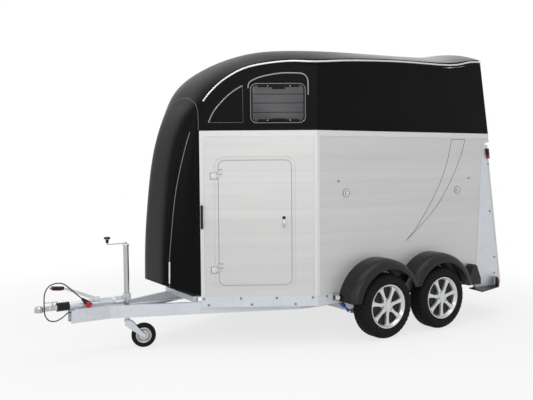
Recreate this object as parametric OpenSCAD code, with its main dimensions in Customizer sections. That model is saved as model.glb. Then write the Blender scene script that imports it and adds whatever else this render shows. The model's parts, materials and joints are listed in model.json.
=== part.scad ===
// Twin-axle horse trailer with a moulded nose and roof, boarded sides and a rear ramp.
// X runs forward to the coupling, Y to the left, Z up; lengths along X count from the front axle.

/* [Body] */
// Width over the side walls
body_w = 1750; // [1650:10:1850]
// Thickness of the boarded walls
wall_t = 30; // [24:1:36]
// Underside of the floor and lower edge of the boards
floor_z = 450; // [440:5:470]
// Thickness of the floor
floor_t = 30; // [20:1:40]
// Height of the top of the boards
rail_z = 1921; // [1880:1:1960]
// Where the sides begin to taper, ahead of the front axle
taper_x = 661; // [620:1:700]
// Front end of the tapered sides
nose_x = 1595; // [1570:1:1620]
// Angle of the tapered sides
taper_deg = 30.3; // [28:0.1:32]
// Rear end of the boards at the top rail
rear_x = -1583; // [-1620:1:-1560]
// Lean of the rear end from upright
rear_lean = 9; // [7:0.5:11]
// Thickness of the moulded shell
shell_t = 14; // [10:1:18]
// Radius of the shell's outer edge
edge_r = 30; // [20:1:36]
// Depth of the lip that the shell folds over the sides
lip = 42; // [38:1:48]
// Height of the top rail profile
rail_h = 50; // [40:1:60]
// How far profiles stand proud of the boards
proud = 3; // [2:0.5:5]

/* [Doors and window] */
// Distance of the door opening from the taper's start
door_s = 226; // [200:1:240]
// Width of the door opening
door_w = 655; // [620:1:680]
// Bottom of the door opening
door_z = 546; // [530:1:570]
// Height of the boards left above the door opening
door_head = 207; // [180:1:260]
// Corner radius of the door opening
door_r = 60; // [40:1:80]
// Gap round the door
door_gap = 6; // [5:0.5:8]
// How far the door opens
door_open = 110; // [80:5:120]
// Distance of the window from the taper's start
window_s = 106; // [95:1:120]
// Width of the window
window_w = 478; // [450:1:500]
// Bottom of the window
window_z = 1990; // [1980:1:2005]
// Height of the window
window_h = 336; // [310:1:345]
// Corner radius of the window
window_r = 45; // [30:1:55]

/* [Rear end] */
// Thickness of the ramp
ramp_t = 55; // [45:1:65]
// Height of the ramp's hinge pin
ramp_pin_z = 318; // [310:1:330]
// Height of the ramp's top edge
ramp_top_z = 1800; // [1760:1:1840]
// Gap between the posts and the ramp
ramp_gap = 8; // [6:1:12]
// Radius of the ramp's hinge pin
ramp_pin_r = 10; // [8:1:12]
// Depth of the rear post at the floor, counted from the rear plane
post_foot = 407; // [380:1:430]
// Depth of the rear post at its top, counted from the rear plane
post_head = 106; // [95:1:120]
// Lower end of the rear posts
post_z = 300; // [290:1:320]
// Height of the post's top
post_top_z = 1830; // [1800:1:1850]

/* [Chassis] */
// Underside of the sills
sill_z = 352; // [345:1:360]
// Width of the sill's flanges
sill_flange = 45; // [35:1:55]
// Sheet thickness of the sills and beams
sheet_t = 5; // [4:0.5:6]
// How far behind the ball the drawbar beams end
beam_back = 255; // [240:1:270]
// Half width over the beams at their front end
beam_front = 56; // [52:1:60]
// Length of the beams' parallel front part
beam_par = 340; // [320:1:360]
// Angle at which each beam spreads
beam_deg = 21.3; // [20.8:0.1:21.4]
// Half width over the beams under the body
beam_rear_y = 676; // [640:1:700]
// Underside of the drawbar beams
beam_z = 295; // [290:1:300]
// Height of the drawbar beams
beam_h = 107; // [100:1:110]
// Width of the drawbar beams' flanges
beam_flange = 31; // [28:1:32]

/* [Wheels and axles] */
// Distance between the axles
axle_gap = 708; // [690:1:730]
// Radius of the tyres
tyre_r = 302.5; // [295:0.5:310]
// Width of the tyres
tyre_w = 185; // [175:1:195]
// Radius of the rim's outer flange
rim_r = 203; // [198:0.5:208]
// How far the rim's outer face stands out from the wall
rim_out = 203; // [198:1:210]
// Number of spokes
spokes = 7; // [5:1:9]
// Side of the axle tube
axle_tube = 70; // [60:1:80]
// How far the trailing arm carries the wheel behind the axle tube
arm_l = 165; // [150:1:180]
// Outer radius of the mudguard at the wall
guard_r = 438; // [425:1:445]
// Radius of the lower edge of the mudguard's lip
guard_lip_r = 352; // [345:1:365]
// How far the mudguard's lip stands out from the wall
guard_out = 231; // [226:1:236]
// Thickness of the mudguard
guard_t = 5; // [4:0.5:7]

/* [Coupling and jockey wheel] */
// Height of the coupling ball
ball_z = 438; // [432:1:444]
// Place of the coupling ball, ahead of the front axle
ball_x = 2885; // [2870:1:2900]
// Radius of the coupling socket
ball_r = 25.3; // [25.1:0.1:25.6]
// Radius of the drawbar tube
draw_r = 25; // [22:0.5:28]
// How far behind the ball the jockey tube stands
jockey_back = 765; // [750:1:780]
// Outer radius of the jockey tube
jockey_r = 24; // [22:0.5:26]
// Inner radius of the jockey tube
jockey_bore = 20; // [19:0.5:21]
// Top of the jockey tube
jockey_top_z = 920; // [880:1:960]
// Radius of the jockey wheel
jockey_wheel_r = 108; // [100:1:112]
// How far the jockey wheel trails its tube
jockey_trail = 142; // [135:1:150]
// Direction in which the jockey wheel trails
jockey_deg = 159; // [150:1:165]
// Running clearance of pins and shafts
run = 0.5; // [0.3:0.05:0.6]
// Gap between pieces that are seated on each other
seat = 0.3; // [0.2:0.05:0.4]

/* [Hidden] */
$fn = 48;

lean = tan(rear_lean);
slope = tan(taper_deg);
half = body_w / 2;
board_top = rail_z - rail_h;
// The coupling's nose and the ramp's foot are the ends of the box that sets the origin.
head_r = 36;
tip_x = ball_x + head_r;
pin_x = rear_plane(ramp_pin_z) + ramp_t / 2 / cos(rear_lean);
tail_x = pin_x - ramp_t / 2;
// Rear cross piece, which carries the ramp's pins and closes the frame.
frame_x = pin_x + ramp_t / 2 / cos(rear_lean) + lean * (floor_z - ramp_pin_z) + ramp_gap;
frame_w = 56;
mid_x = (tip_x + tail_x) / 2;
beam_x = ball_x - beam_back;
beam_bend_x = beam_x - beam_par;
jockey_x = ball_x - jockey_back;

// X of the rear plane, in which the ramp and the roof's rear edge lie, at height z.
function rear_plane(z) = rear_x + lean * (z - rail_z);
// Half width of the body at x.
function side_y(x) = half - max(0, x - taper_x) * slope;
function unit(v) = v / norm(v);
function catmull(a, b, c, d, t) =
    0.5 * (2 * b + (c - a) * t + (2 * a - 5 * b + 4 * c - d) * t * t
    + (3 * b - a - 3 * c + d) * t * t * t);

// Puts a left-hand piece on the side that s names, 1 for left and -1 for right.
module on_side(s) mirror([0, s > 0 ? 0 : 1, 0]) children();
// Places a piece from the axle-based frame into the frame of the whole trailer.
module placed(s = 1) translate([-mid_x, 0, 0]) on_side(s) children();
// Turns a plate drawn in (distance along the side, height) into the tapered side's plane.
module on_taper(depth, inset = 0)
    translate([taper_x, half, 0]) rotate([0, 0, -taper_deg]) translate([0, -inset, 0])
    rotate([90, 0, 0]) linear_extrude(depth) children();
// The same for the straight side, drawn in (x, height).
module on_straight(depth, inset = 0)
    translate([0, half - inset, 0]) rotate([90, 0, 0]) linear_extrude(depth) children();
module round_rect(w, h, r) {
    translate([r, 0]) square([w - 2 * r, h]);
    translate([0, r]) square([w, h - 2 * r]);
    for (x = [r, w - r], y = [r, h - r]) translate([x, y]) circle(r);
}

// The shell's profile, one row for each section across it.
// Columns: edge x, edge z, crown x, crown z, squareness of the section.
SHELL = [
    [nose_x, 470, 1864, 566, 10], [nose_x, 700, 1862, 760, 10], [nose_x, 1000, 1850, 1010, 10],
    [nose_x, 1320, 1822, 1330, 9], [nose_x, 1620, 1784, 1630, 8], [nose_x, 1850, 1728, 1865, 7],
    [nose_x - 4, 2040, 1652, 2052, 6], [nose_x - 43, 2157, 1574, 2172, 5], [1472, 2278, 1496, 2304, 3.6],
    [1354, 2394, 1382, 2426, 2.8], [1175, 2492, 1210, 2552, 2.4], [900, 2538, 950, 2664, 2.4],
    [taper_x, 2534, 690, 2708, 2.3], [250, 2573, 250, 2742, 2.1], [-323, 2603, -323, 2754, 2.1],
    [-1000, 2615, -1000, 2770, 2.1], [-1290, 2664, -1290, 2790, 2.4],
    [rear_plane(2676) + 12, 2676, rear_plane(2814) + 12, 2814, 2.8]
];
shell_steps = 2;
function shell_key(i) = SHELL[max(0, min(len(SHELL) - 1, i))];
ROWS = [
    for (i = [0 : len(SHELL) - 2], k = [0 : shell_steps - 1])
        catmull(shell_key(i - 1), shell_key(i), shell_key(i + 1), shell_key(i + 2), k / shell_steps),
    SHELL[len(SHELL) - 1]
];
last = len(ROWS) - 1;
function edge_point(i) = [ROWS[i][0], side_y(ROWS[i][0]), ROWS[i][1]];
function edge_run(i) = unit(edge_point(min(last, i + 1)) - edge_point(max(0, i - 1)));
// Share of the tapered side's direction in the outward normal, blended over the corner.
function taper_share(x) = max(0, min(1, (x - taper_x + 40) / 80));
function side_normal(x) =
    [sin(taper_deg * taper_share(x)), cos(taper_deg * taper_share(x)), 0];
// Direction from the shell's edge down its folded lip.
function lip_way(i) = unit(cross(edge_run(i), side_normal(ROWS[i][0])));
// Places across the half section, as shares of the half width.
ACROSS = [0.985, 0.955, 0.91, 0.84, 0.74, 0.6, 0.42, 0.22];
function crown_point(i, f) =
    let (e = edge_point(i), c = ROWS[i], rise = 1 - pow(abs(f), c[4]))
    [e.x + (c[2] - e.x) * rise, e.y * f, e.z + (c[3] - e.z) * rise];
function half_row(i) =
    let (e = edge_point(i), d = lip_way(i), n = side_normal(ROWS[i][0]), q = 1 - cos(45))
    concat(
        [e + d * lip, e + d * edge_r, e + (d - n) * edge_r * q],
        [for (f = ACROSS) crown_point(i, f)]
    );
function mirrored(row) = [for (j = [len(row) - 1 : -1 : 0]) [row[j].x, -row[j].y, row[j].z]];
GRID = [
    for (i = [0 : last]) let (h = half_row(i)) concat(h, [crown_point(i, 0)], mirrored(h))
];
cols = len(GRID[0]) - 1;
function grid_normal(i, j) = unit(cross(
    GRID[min(last, i + 1)][j] - GRID[max(0, i - 1)][j],
    GRID[i][min(cols, j + 1)] - GRID[i][max(0, j - 1)]
));
INNER = [for (i = [0 : last]) [for (j = [0 : cols]) GRID[i][j] - shell_t * grid_normal(i, j)]];

// Closed skin between two grids of points of the same size.
module skin(a, b) {
    m = len(a) - 1;
    n = len(a[0]) - 1;
    w = n + 1;
    function at(i, j) = i * w + j;
    off = (m + 1) * w;
    faces = concat(
        [for (i = [0 : m - 1], j = [0 : n - 1]) [at(i, j), at(i, j + 1), at(i + 1, j + 1)]],
        [for (i = [0 : m - 1], j = [0 : n - 1]) [at(i, j), at(i + 1, j + 1), at(i + 1, j)]],
        [for (i = [0 : m - 1], j = [0 : n - 1]) [off + at(i, j), off + at(i + 1, j + 1), off + at(i, j + 1)]],
        [for (i = [0 : m - 1], j = [0 : n - 1]) [off + at(i, j), off + at(i + 1, j), off + at(i + 1, j + 1)]],
        [for (i = [0 : m - 1]) [at(i, 0), at(i + 1, 0), off + at(i + 1, 0)]],
        [for (i = [0 : m - 1]) [at(i, 0), off + at(i + 1, 0), off + at(i, 0)]],
        [for (i = [0 : m - 1]) [at(i, n), off + at(i + 1, n), at(i + 1, n)]],
        [for (i = [0 : m - 1]) [at(i, n), off + at(i, n), off + at(i + 1, n)]],
        [for (j = [0 : n - 1]) [at(0, j), off + at(0, j + 1), at(0, j + 1)]],
        [for (j = [0 : n - 1]) [at(0, j), off + at(0, j), off + at(0, j + 1)]],
        [for (j = [0 : n - 1]) [at(m, j), at(m, j + 1), off + at(m, j + 1)]],
        [for (j = [0 : n - 1]) [at(m, j), off + at(m, j + 1), off + at(m, j)]]
    );
    polyhedron([for (r = a) each r, for (r = b) each r], faces, convexity = 6);
}

module hood() color("#17191a") placed() skin(GRID, INNER);

// The upper sides meet the shell's lip; their outline is drawn in each side's own plane.
function seat_point(i) = edge_point(i) + lip_way(i) * (lip + seat);
function along(p) = (p.x - taper_x) / cos(taper_deg);
SEAT = [for (i = [0 : last]) if (seat_point(i).z > rail_z) seat_point(i)];
front_s = (nose_x - taper_x) / cos(taper_deg) - lip - seat;
side_bottom = rail_z + seat;
corner_top = min([for (p = SEAT) if (abs(p.x - taper_x) < 300) p.z]) - 1;
// Half the corner profile's width on each plane.
corner_w = 25;
front_profile_w = 32;
// Plan point at distance d along the tapered side, out from its face.
function taper_at(d, out = 0) = [
    taper_x + d * cos(taper_deg) + out * sin(taper_deg),
    half - d * sin(taper_deg) + out * cos(taper_deg)
];
// Plan of a strip that follows both planes of a side from x = a to distance b, from out to in.
module side_plan(a, b, out, in) polygon([
    [a, half + out], [taper_x + out * tan(taper_deg / 2), half + out], taper_at(b, out), taper_at(b, -in),
    [taper_x - in * tan(taper_deg / 2), half - in], [a, half - in]
]);
module window_opening(grow = 0)
    translate([window_s - grow, window_z - grow])
    round_rect(window_w + 2 * grow, window_h + 2 * grow, window_r + grow);
sky = 3000;
cut_end = 30;
module upper_side() color("#1b1d1e") difference() {
    translate([0, 0, side_bottom]) linear_extrude(sky - side_bottom)
        side_plan(rear_plane(side_bottom) - seat, front_s, 0, wall_t);
    on_taper(wall_t + 2, -1) window_opening();
    // What lies above the lip on the tapered plane, then above and behind it on the straight one.
    on_taper(wall_t + 2, -1) {
        points = [for (p = SEAT) if (p.x > taper_x + 60 && along(p) < front_s) [along(p), p.z]];
        low = max([for (p = SEAT) if (along(p) >= front_s) p.z]);
        polygon(concat(
            [[front_s + cut_end, low], [front_s, low]], points,
            [[0, corner_top], [-cut_end, corner_top], [-cut_end, sky + 1], [front_s + cut_end, sky + 1]]
        ));
    }
    on_straight(wall_t + 2, -1) polygon(concat(
        [[taper_x + cut_end, corner_top], [taper_x, corner_top]],
        [for (p = SEAT) if (p.x < taper_x - 60) [p.x, p.z]],
        [[rear_plane(side_bottom - cut_end), side_bottom - cut_end], [rear_x - 400, side_bottom - cut_end],
        [rear_x - 400, sky + 1], [taper_x + cut_end, sky + 1]]
    ));
}

// Window: a moulded frame in the opening, with a ribbed pane.
sash_w = 22;
sash_out = 9;
pane_t = 8;
ribs = 3;
module window() color("#2e3033") {
    difference() {
        on_taper(wall_t + sash_out, -sash_out) window_opening(-seat);
        on_taper(wall_t + sash_out + 2, -sash_out - 1) window_opening(-sash_w);
    }
    on_taper(sash_out - 2, -sash_out) difference() {
        window_opening(sash_w / 2);
        window_opening(-sash_w);
    }
    on_taper(pane_t, 2) window_opening(-sash_w);
    for (k = [1 : ribs])
        on_taper(4, -2) translate([window_s + sash_w, window_z + window_h * k / (ribs + 1) - 4])
            square([window_w - 2 * sash_w, 8]);
}

// Front edge of the rear post at height z.
function post_front(z) =
    rear_plane(z) + post_foot + (post_head - post_foot) * (z - floor_z) / (post_top_z - floor_z);
module wall() color("#c9cbcc") on_straight(wall_t) polygon([
    [taper_x - corner_w - seat, floor_z], [taper_x - corner_w - seat, board_top - seat],
    [rear_plane(board_top), board_top - seat], [rear_plane(post_top_z + seat), post_top_z + seat],
    [post_front(post_top_z) + seat, post_top_z + seat], [post_front(floor_z) + seat, floor_z]
]);
door_end = door_s + door_w;
door_h = board_top - door_head - door_z;
module door_opening(grow = 0)
    translate([door_s - grow, door_z - grow])
    round_rect(door_w + 2 * grow, door_h + 2 * grow, door_r + grow);

// Hinge pins of the door stand just outside the boards, in line with the gap.
hinge_out = 9;
hinge_r = 8;
hinge_pin_r = 4;
hinge_h = 34;
hinge_zs = [door_z + 126, door_z + door_h - 158];
hinge_s = door_end - door_gap / 2;
hinge_plate = 34;
module on_hinge(z) translate([taper_x, half, 0]) rotate([0, 0, -taper_deg])
    translate([hinge_s, hinge_out, z]) children();
module front_wall() color("#c9cbcc") {
    on_taper(wall_t) difference() {
        translate([corner_w + seat, floor_z])
            square([front_s - front_profile_w - corner_w - 2 * seat, board_top - seat - floor_z]);
        door_opening();
    }
    for (z = hinge_zs) on_hinge(z) {
        cylinder(h = hinge_h, r = hinge_r);
        cylinder(h = 2 * hinge_h - 4, r = hinge_pin_r);
        translate([0, -hinge_out, 0]) cube([hinge_plate, 5, hinge_h]);
    }
}
door_lock_z = 1110;
module door() color("#cdcfd0") {
    on_taper(wall_t) door_opening(-door_gap);
    for (z = hinge_zs) on_hinge(z + hinge_h + 1) {
        difference() {
            cylinder(h = hinge_h, r = hinge_r);
            translate([0, 0, -1]) cylinder(h = hinge_h - 3, r = hinge_pin_r + run);
        }
        translate([-hinge_plate - 3, -hinge_out, 0]) cube([hinge_plate, 5, hinge_h]);
        translate([-hinge_r - 1, -hinge_out, 0]) cube([5, hinge_out + 3, hinge_h]);
    }
    on_taper(9, -9) translate([door_s + 52, door_lock_z - 55]) round_rect(42, 110, 8);
    on_taper(9, -18) translate([door_s + 62, door_lock_z - 42]) round_rect(22, 70, 6);
}
module profiles() color("#dfe1e2") {
    translate([0, 0, board_top]) linear_extrude(rail_h) side_plan(rear_x, front_s, proud, wall_t);
    translate([0, 0, floor_z]) linear_extrude(board_top - floor_z) {
        side_plan(taper_x - corner_w, corner_w, proud, wall_t);
        polygon([
            taper_at(front_s, proud), taper_at(front_s, -wall_t),
            taper_at(front_s - front_profile_w, -wall_t), taper_at(front_s - front_profile_w, proud)
        ]);
    }
}

// Sills: angles under the boards, along both planes of a side.
sill_h = floor_z - sill_z;
sill_rear = post_front(sill_z) + 6;
module sill() color("#b9bfc4") {
    translate([0, 0, sill_z]) linear_extrude(sill_h) side_plan(sill_rear, front_s, 0, sheet_t);
    translate([0, 0, floor_z - sheet_t]) linear_extrude(sheet_t) side_plan(sill_rear, front_s, 0, sill_flange);
}
// Drawbar beams: channels that open inwards, close together at the coupling and spread under the body.
beam_spread_x = beam_bend_x - (beam_rear_y - beam_front) / tan(beam_deg);
BEAM = [
    [beam_x, beam_front], [beam_bend_x, beam_front], [beam_spread_x, beam_rear_y],
    [frame_x + frame_w + seat, beam_rear_y]
];
module beam_strip(w, z, h) translate([0, 0, z]) linear_extrude(h) {
    shift = w * tan(beam_deg / 2);
    polygon([
        BEAM[0], BEAM[1], BEAM[2], BEAM[3], BEAM[3] - [0, w], BEAM[2] - [-shift, w],
        BEAM[1] - [shift, w], BEAM[0] - [0, w]
    ]);
}
module drawbar() color("#bcc3c9") {
    beam_strip(sheet_t, beam_z, beam_h);
    beam_strip(beam_flange, beam_z, sheet_t);
    beam_strip(beam_flange, beam_z + beam_h - sheet_t, sheet_t);
}
// Places of the cross members, ahead of the front axle, and their half widths.
cross_half = half - sill_flange - seat;
CROSS = [[nose_x - 5, 300], [1000, 600], [480, cross_half], [-250, cross_half], [-960, cross_half]];
cross_w = 50;
module cross_members() color("#b9bfc4") placed() for (c = CROSS)
    translate([c.x - cross_w / 2, -c.y, beam_z + beam_h + seat])
        cube([cross_w, 2 * c.y, floor_z - beam_z - beam_h - seat]);
floor_rear = rear_plane(floor_z) + ramp_t + 3 * ramp_gap;
floor_front = nose_x - 12;
module floor_plan() {
    inner = half - wall_t - seat;
    polygon([
        [floor_rear, -inner], [taper_x - 9, -inner], [floor_front, 60 - side_y(floor_front)],
        [floor_front, side_y(floor_front) - 60], [taper_x - 9, inner], [floor_rear, inner]
    ]);
}
module floor() color("#55504a") placed() translate([0, 0, floor_z]) linear_extrude(floor_t) floor_plan();

// Tray that closes the nose from below, in the sloping plane of the shell's lower edge.
tray_t = 8;
tray_deg = atan((SHELL[0][3] - SHELL[0][1]) / (SHELL[0][2] - SHELL[0][0]));
module nose_tray() color("#26282a") placed() translate([nose_x, 0, SHELL[0][1]]) rotate([0, -tray_deg, 0])
    linear_extrude(tray_t) polygon([
        for (j = [4 : cols - 4]) [(INNER[0][j].x - nose_x) / cos(tray_deg) - seat, INNER[0][j].y * 0.997]
    ]);

// Rear posts: galvanised wedges that carry the ramp's sides.
post_out = 3;
post_gap = ramp_t / cos(rear_lean) + ramp_gap;
module rear_post() color("#c3ccd4") on_straight(wall_t + post_out, -post_out) polygon([
    [post_front(post_top_z), post_top_z], [rear_plane(post_top_z) + post_gap, post_top_z],
    [rear_plane(post_z) + post_gap, post_z], [post_front(sill_z), post_z],
    [post_front(sill_z), sill_z], [post_front(floor_z), floor_z]
]);
ramp_half = half - 25;
LUGS = [-560, 0, 560];
lug_w = 60;
pin_reach = 70;
module rear_frame() color("#b9bfc4") placed() {
    inner = half - wall_t - seat;
    translate([frame_x, -inner, post_z]) cube([frame_w, 2 * inner, floor_z - post_z]);
    for (y = LUGS) {
        translate([pin_x, y + lug_w / 2, ramp_pin_z]) rotate([90, 0, 0]) cylinder(h = lug_w, r = ramp_t / 2 - 8);
        translate([pin_x, y - lug_w / 2, ramp_pin_z - 12]) cube([frame_x - pin_x + 1, lug_w, 24]);
        translate([pin_x, y + lug_w / 2 + pin_reach, ramp_pin_z]) rotate([90, 0, 0])
            cylinder(h = lug_w + 2 * pin_reach, r = ramp_pin_r);
    }
}
ramp_l = (ramp_top_z - ramp_pin_z) / cos(rear_lean);
module ramp() color("#8e9498") placed() translate([pin_x, 0, ramp_pin_z]) rotate([0, rear_lean, 0]) difference() {
    union() {
        translate([-ramp_t / 2, -ramp_half, 0]) cube([ramp_t, 2 * ramp_half, ramp_l]);
        translate([0, ramp_half, 0]) rotate([90, 0, 0]) cylinder(h = 2 * ramp_half, r = ramp_t / 2);
    }
    for (y = LUGS) translate([-ramp_t, y - lug_w / 2 - 2, -ramp_t])
        cube([2 * ramp_t, lug_w + 4, ramp_t + ramp_t / 2 + 6]);
    translate([0, ramp_half + 1, 0]) rotate([90, 0, 0]) cylinder(h = 2 * ramp_half + 2, r = ramp_pin_r + run);
}

// Running gear.
rim_half = 84;
wheel_y = half + rim_out - rim_half;
module about_y(x, y, z) translate([x, y, z]) rotate([-90, 0, 0]) children();
TYRE = [
    [0.632, -0.7], [0.68, -0.78], [0.71, -0.93], [0.77, -1], [0.83, -1], [0.905, -0.93], [0.962, -0.8], [0.99, -0.65],
    [1, -0.45], [1, 0.45], [0.99, 0.65], [0.962, 0.8], [0.905, 0.93], [0.83, 1], [0.77, 1], [0.71, 0.93],
    [0.68, 0.78], [0.632, 0.7]
];
module tyre(x) color("#202122") about_y(x, wheel_y, tyre_r)
    rotate_extrude($fn = 64) polygon([for (p = TYRE) [p[0] * tyre_r, p[1] * tyre_w / 2]]);
seat_r = 0.632 * tyre_r - seat;
hub_r = 62;
stub_r = 17;
bolt_pcd = 112;
bolts = 5;
drum_r = 125;
module rim(x) color("#d5d8da") about_y(x, wheel_y, tyre_r) difference() {
    union() {
        rotate_extrude($fn = 64) polygon([
            [seat_r - 12, -rim_half], [seat_r - 4, -rim_half], [rim_r - 5, -rim_half + 2], [rim_r - 5, -rim_half + 8],
            [seat_r, -rim_half + 16], [seat_r, rim_half - 16], [rim_r, rim_half - 9], [rim_r, rim_half],
            [rim_r - 8, rim_half], [seat_r - 14, rim_half - 26], [seat_r - 10, rim_half - 60]
        ]);
        translate([0, 0, rim_half - 50]) cylinder(h = 34, r = hub_r);
        translate([0, 0, rim_half - 38]) linear_extrude(24) for (k = [0 : spokes - 1]) rotate(90 + k * 360 / spokes)
            polygon([[40, -20], [hub_r + 40, -13], [seat_r - 30, -18], [seat_r - 10, -32],
                [seat_r - 10, 32], [seat_r - 30, 18], [hub_r + 40, 13], [40, 20]]);
        translate([0, 0, 4 - rim_half]) cylinder(h = 114, r = drum_r);
    }
    translate([0, 0, -rim_half]) cylinder(h = rim_half + 40, r = stub_r + run);
    for (k = [0 : bolts - 1]) rotate(k * 360 / bolts) translate([bolt_pcd / 2, 0, rim_half - 30]) cylinder(h = 30, r = 8);
}
arm_t = 26;
arm_y = half - arm_t - 7;
tube_z = beam_z - seat - axle_tube / 2;
module link(a, ra, b, rb) {
    d = unit(b - a);
    n = [-d.y, d.x];
    polygon([a + n * ra, b + n * rb, b - n * rb, a - n * ra]);
    translate(a) circle(ra);
    translate(b) circle(rb);
}
damper_top = [388, 12];
damper_low = [262, -100];
damper_r = 21;
damper_y = arm_y - damper_r - 3;
module axle(x) color("#a9b0b6") placed() {
    translate([x + arm_l - axle_tube / 2, -arm_y, tube_z - axle_tube / 2]) cube([axle_tube, 2 * arm_y, axle_tube]);
    for (s = [1, -1]) on_side(s) {
        translate([0, arm_y + arm_t, 0]) rotate([90, 0, 0]) linear_extrude(arm_t) {
            link([x, tyre_r], 34, [x + arm_l, tube_z], 34);
            link([x + arm_l, tube_z], 30, [x + damper_low.x, sill_z + damper_low.y], 16);
        }
        about_y(x, arm_y + arm_t, tyre_r) cylinder(h = wheel_y + 40 - arm_y - arm_t, r = stub_r);
        about_y(x, half + 8, tyre_r) cylinder(h = 24, r = 100);
    }
}
module dampers() color("#1f4f9c") placed() for (s = [1, -1], x = [0, -axle_gap]) on_side(s) {
    a = [x + damper_top.x, sill_z + damper_top.y];
    b = [x + damper_low.x, sill_z + damper_low.y];
    d = unit(a - b);
    reach = norm(a - b);
    translate([b.x, damper_y, b.y]) rotate([0, atan2(d.x, d.y), 0]) {
        translate([0, 0, 0.45 * reach]) cylinder(h = 0.5 * reach, r = damper_r);
        cylinder(h = 0.5 * reach, r = 9);
    }
    translate([a.x, damper_y - 18, a.y]) rotate([-90, 0, 0]) cylinder(h = 36, r = 17);
    translate([a.x, damper_y, a.y]) rotate([-90, 0, 0]) cylinder(h = half - sheet_t - seat - damper_y, r = 8);
    translate([b.x, damper_y - 18, b.y]) rotate([-90, 0, 0]) cylinder(h = arm_y - seat - damper_y + 18, r = 14);
}
// Mudguards: one moulded pressing with an arch over each wheel and a pointed web between them.
guard_wall = half + seat;
guard_mid = -axle_gap / 2;
guard_front_z = 372;
guard_tip_z = 455;
guard_drop = 52;
// Section of the mudguard: radius about the axle, then distance out from the wall.
GUARD = [
    [guard_r, 0], [guard_r, 118], [guard_r - 3, 150], [guard_r - 9, 178], [guard_r - 20, 202],
    [guard_r - 36, 220], [guard_r - guard_drop, guard_out - 3], [guard_r - guard_drop - 12, guard_out]
];
guard_liner = 108;
module guard_section() polygon(concat(
    [for (p = GUARD) [p[0], guard_wall + p[1] - (p[1] > 0 ? seat : 0)]],
    [[guard_lip_r, half + guard_out], [guard_lip_r, half + guard_out - guard_t]],
    [for (i = [len(GUARD) - 1 : -1 : 1])
        [GUARD[i][0] - guard_t, guard_wall + GUARD[i][1] - guard_t * i / (len(GUARD) - 1)]],
    [[guard_r - guard_t, guard_wall + guard_t], [guard_r - guard_liner, guard_wall + guard_t],
    [guard_r - guard_liner, guard_wall]]
));
module guard_arch(x) about_y(x, 0, tyre_r) rotate_extrude($fn = 72) guard_section();
module mudguard() color("#2b2d2f") {
    box = 2 * guard_r;
    intersection() {
        guard_arch(0);
        translate([0, half / 2, 0]) union() {
            translate([guard_mid, 0, guard_tip_z]) cube([box, half, box]);
            translate([0, 0, guard_front_z]) cube([box, half, box]);
        }
    }
    intersection() {
        guard_arch(-axle_gap);
        translate([0, half / 2, 0]) union() {
            translate([guard_mid - box, 0, guard_tip_z]) cube([box, half, box]);
            translate([-axle_gap - box, 0, guard_front_z + 20]) cube([box, half, box]);
        }
    }
}

// Coupling end.
socket_depth = 26;
head_l = 145;
head_rear = ball_x - head_l;
draw_l = 260;
head_top = 16;
module coupling_head() color("#c4cacf") placed() difference() {
    union() {
        translate([ball_x, 0, ball_z - socket_depth]) cylinder(h = socket_depth + head_top - 8, r = head_r);
        translate([ball_x, 0, ball_z + head_top - 8]) cylinder(h = 16, r1 = head_r, r2 = head_r - 14);
        translate([head_rear, -head_r + 8, ball_z - 20]) cube([head_l, 2 * head_r - 16, 20 + head_top]);
        translate([head_rear - draw_l, 0, ball_z]) rotate([0, 90, 0]) cylinder(h = draw_l + 10, r = draw_r);
    }
    translate([ball_x, 0, ball_z - socket_depth - 1]) cylinder(h = socket_depth + 1, r = ball_r);
    translate([ball_x, 0, ball_z]) intersection() {
        sphere(r = ball_r);
        translate([0, 0, head_top - 12]) cube([2 * ball_r, 2 * ball_r, 2 * head_top], center = true);
    }
}
handle_z = ball_z + head_top + seat;
module coupling_handle() color("#b9bfc4") placed() {
    translate([head_rear + 24, -8, handle_z]) cube([14, 16, 34]);
    translate([head_rear - 10, -8, handle_z + 26]) cube([110, 16, 9]);
}
bellows_x = beam_x + 6;
bellows_l = head_rear - bellows_x - seat;
folds = 6;
module bellows() color("#1d1e20") placed() translate([bellows_x, 0, ball_z]) rotate([0, 90, 0])
    rotate_extrude() polygon(concat(
        [[draw_r + seat, 0]],
        [for (k = [0 : 2 * folds]) [k % 2 == 0 ? draw_r + 6 : draw_r + 15, bellows_l * k / (2 * folds)]],
        [[draw_r + seat, bellows_l]]
    ));
house_x = beam_x - 400;
house_r = 31;
house_z = beam_z + beam_h + seat;
draw_rear = head_rear - draw_l - 10;
module overrun_housing() color("#b4bbc1") placed() {
    difference() {
        translate([house_x, 0, ball_z]) rotate([0, 90, 0]) cylinder(h = beam_x + 4 - house_x, r = house_r);
        translate([draw_rear, 0, ball_z]) rotate([0, 90, 0]) cylinder(h = draw_l, r = draw_r + run);
    }
    difference() {
        translate([house_x, -beam_front, house_z]) cube([beam_x - 30 - house_x, 2 * beam_front, 10]);
        translate([draw_rear, 0, ball_z]) rotate([0, 90, 0]) cylinder(h = draw_l, r = draw_r + run);
    }
    translate([house_x + 30, -26, house_z]) cube([200, 52, 68]);
}
lever_y = 34 + seat;
module handbrake() color("#a9b0b6") placed() {
    translate([0, lever_y, 0]) rotate([90, 0, 0]) linear_extrude(8) {
        link([beam_x - 230, 475], 16, [beam_x + 26, 590], 11);
        link([beam_x + 26, 590], 11, [beam_x + 70, 598], 11);
    }
    translate([beam_x + 52, lever_y - 4, 598]) rotate([0, 84, 0]) cylinder(h = 108, r = 14);
}
clamp_z = 436;
module jockey_clamp() color("#b9bfc4") placed() difference() {
    union() {
        translate([jockey_x, 0, clamp_z]) cylinder(h = 52, r = jockey_r + 12);
        translate([jockey_x, -18, clamp_z]) cube([house_x - seat - jockey_x, 36, 36]);
        translate([jockey_x + 30, 18, clamp_z + 24]) rotate([-90, 0, 0]) cylinder(h = 34, r = 8);
    }
    translate([jockey_x, 0, clamp_z - 1]) cylinder(h = 60, r = jockey_r + seat / 2);
}
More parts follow.
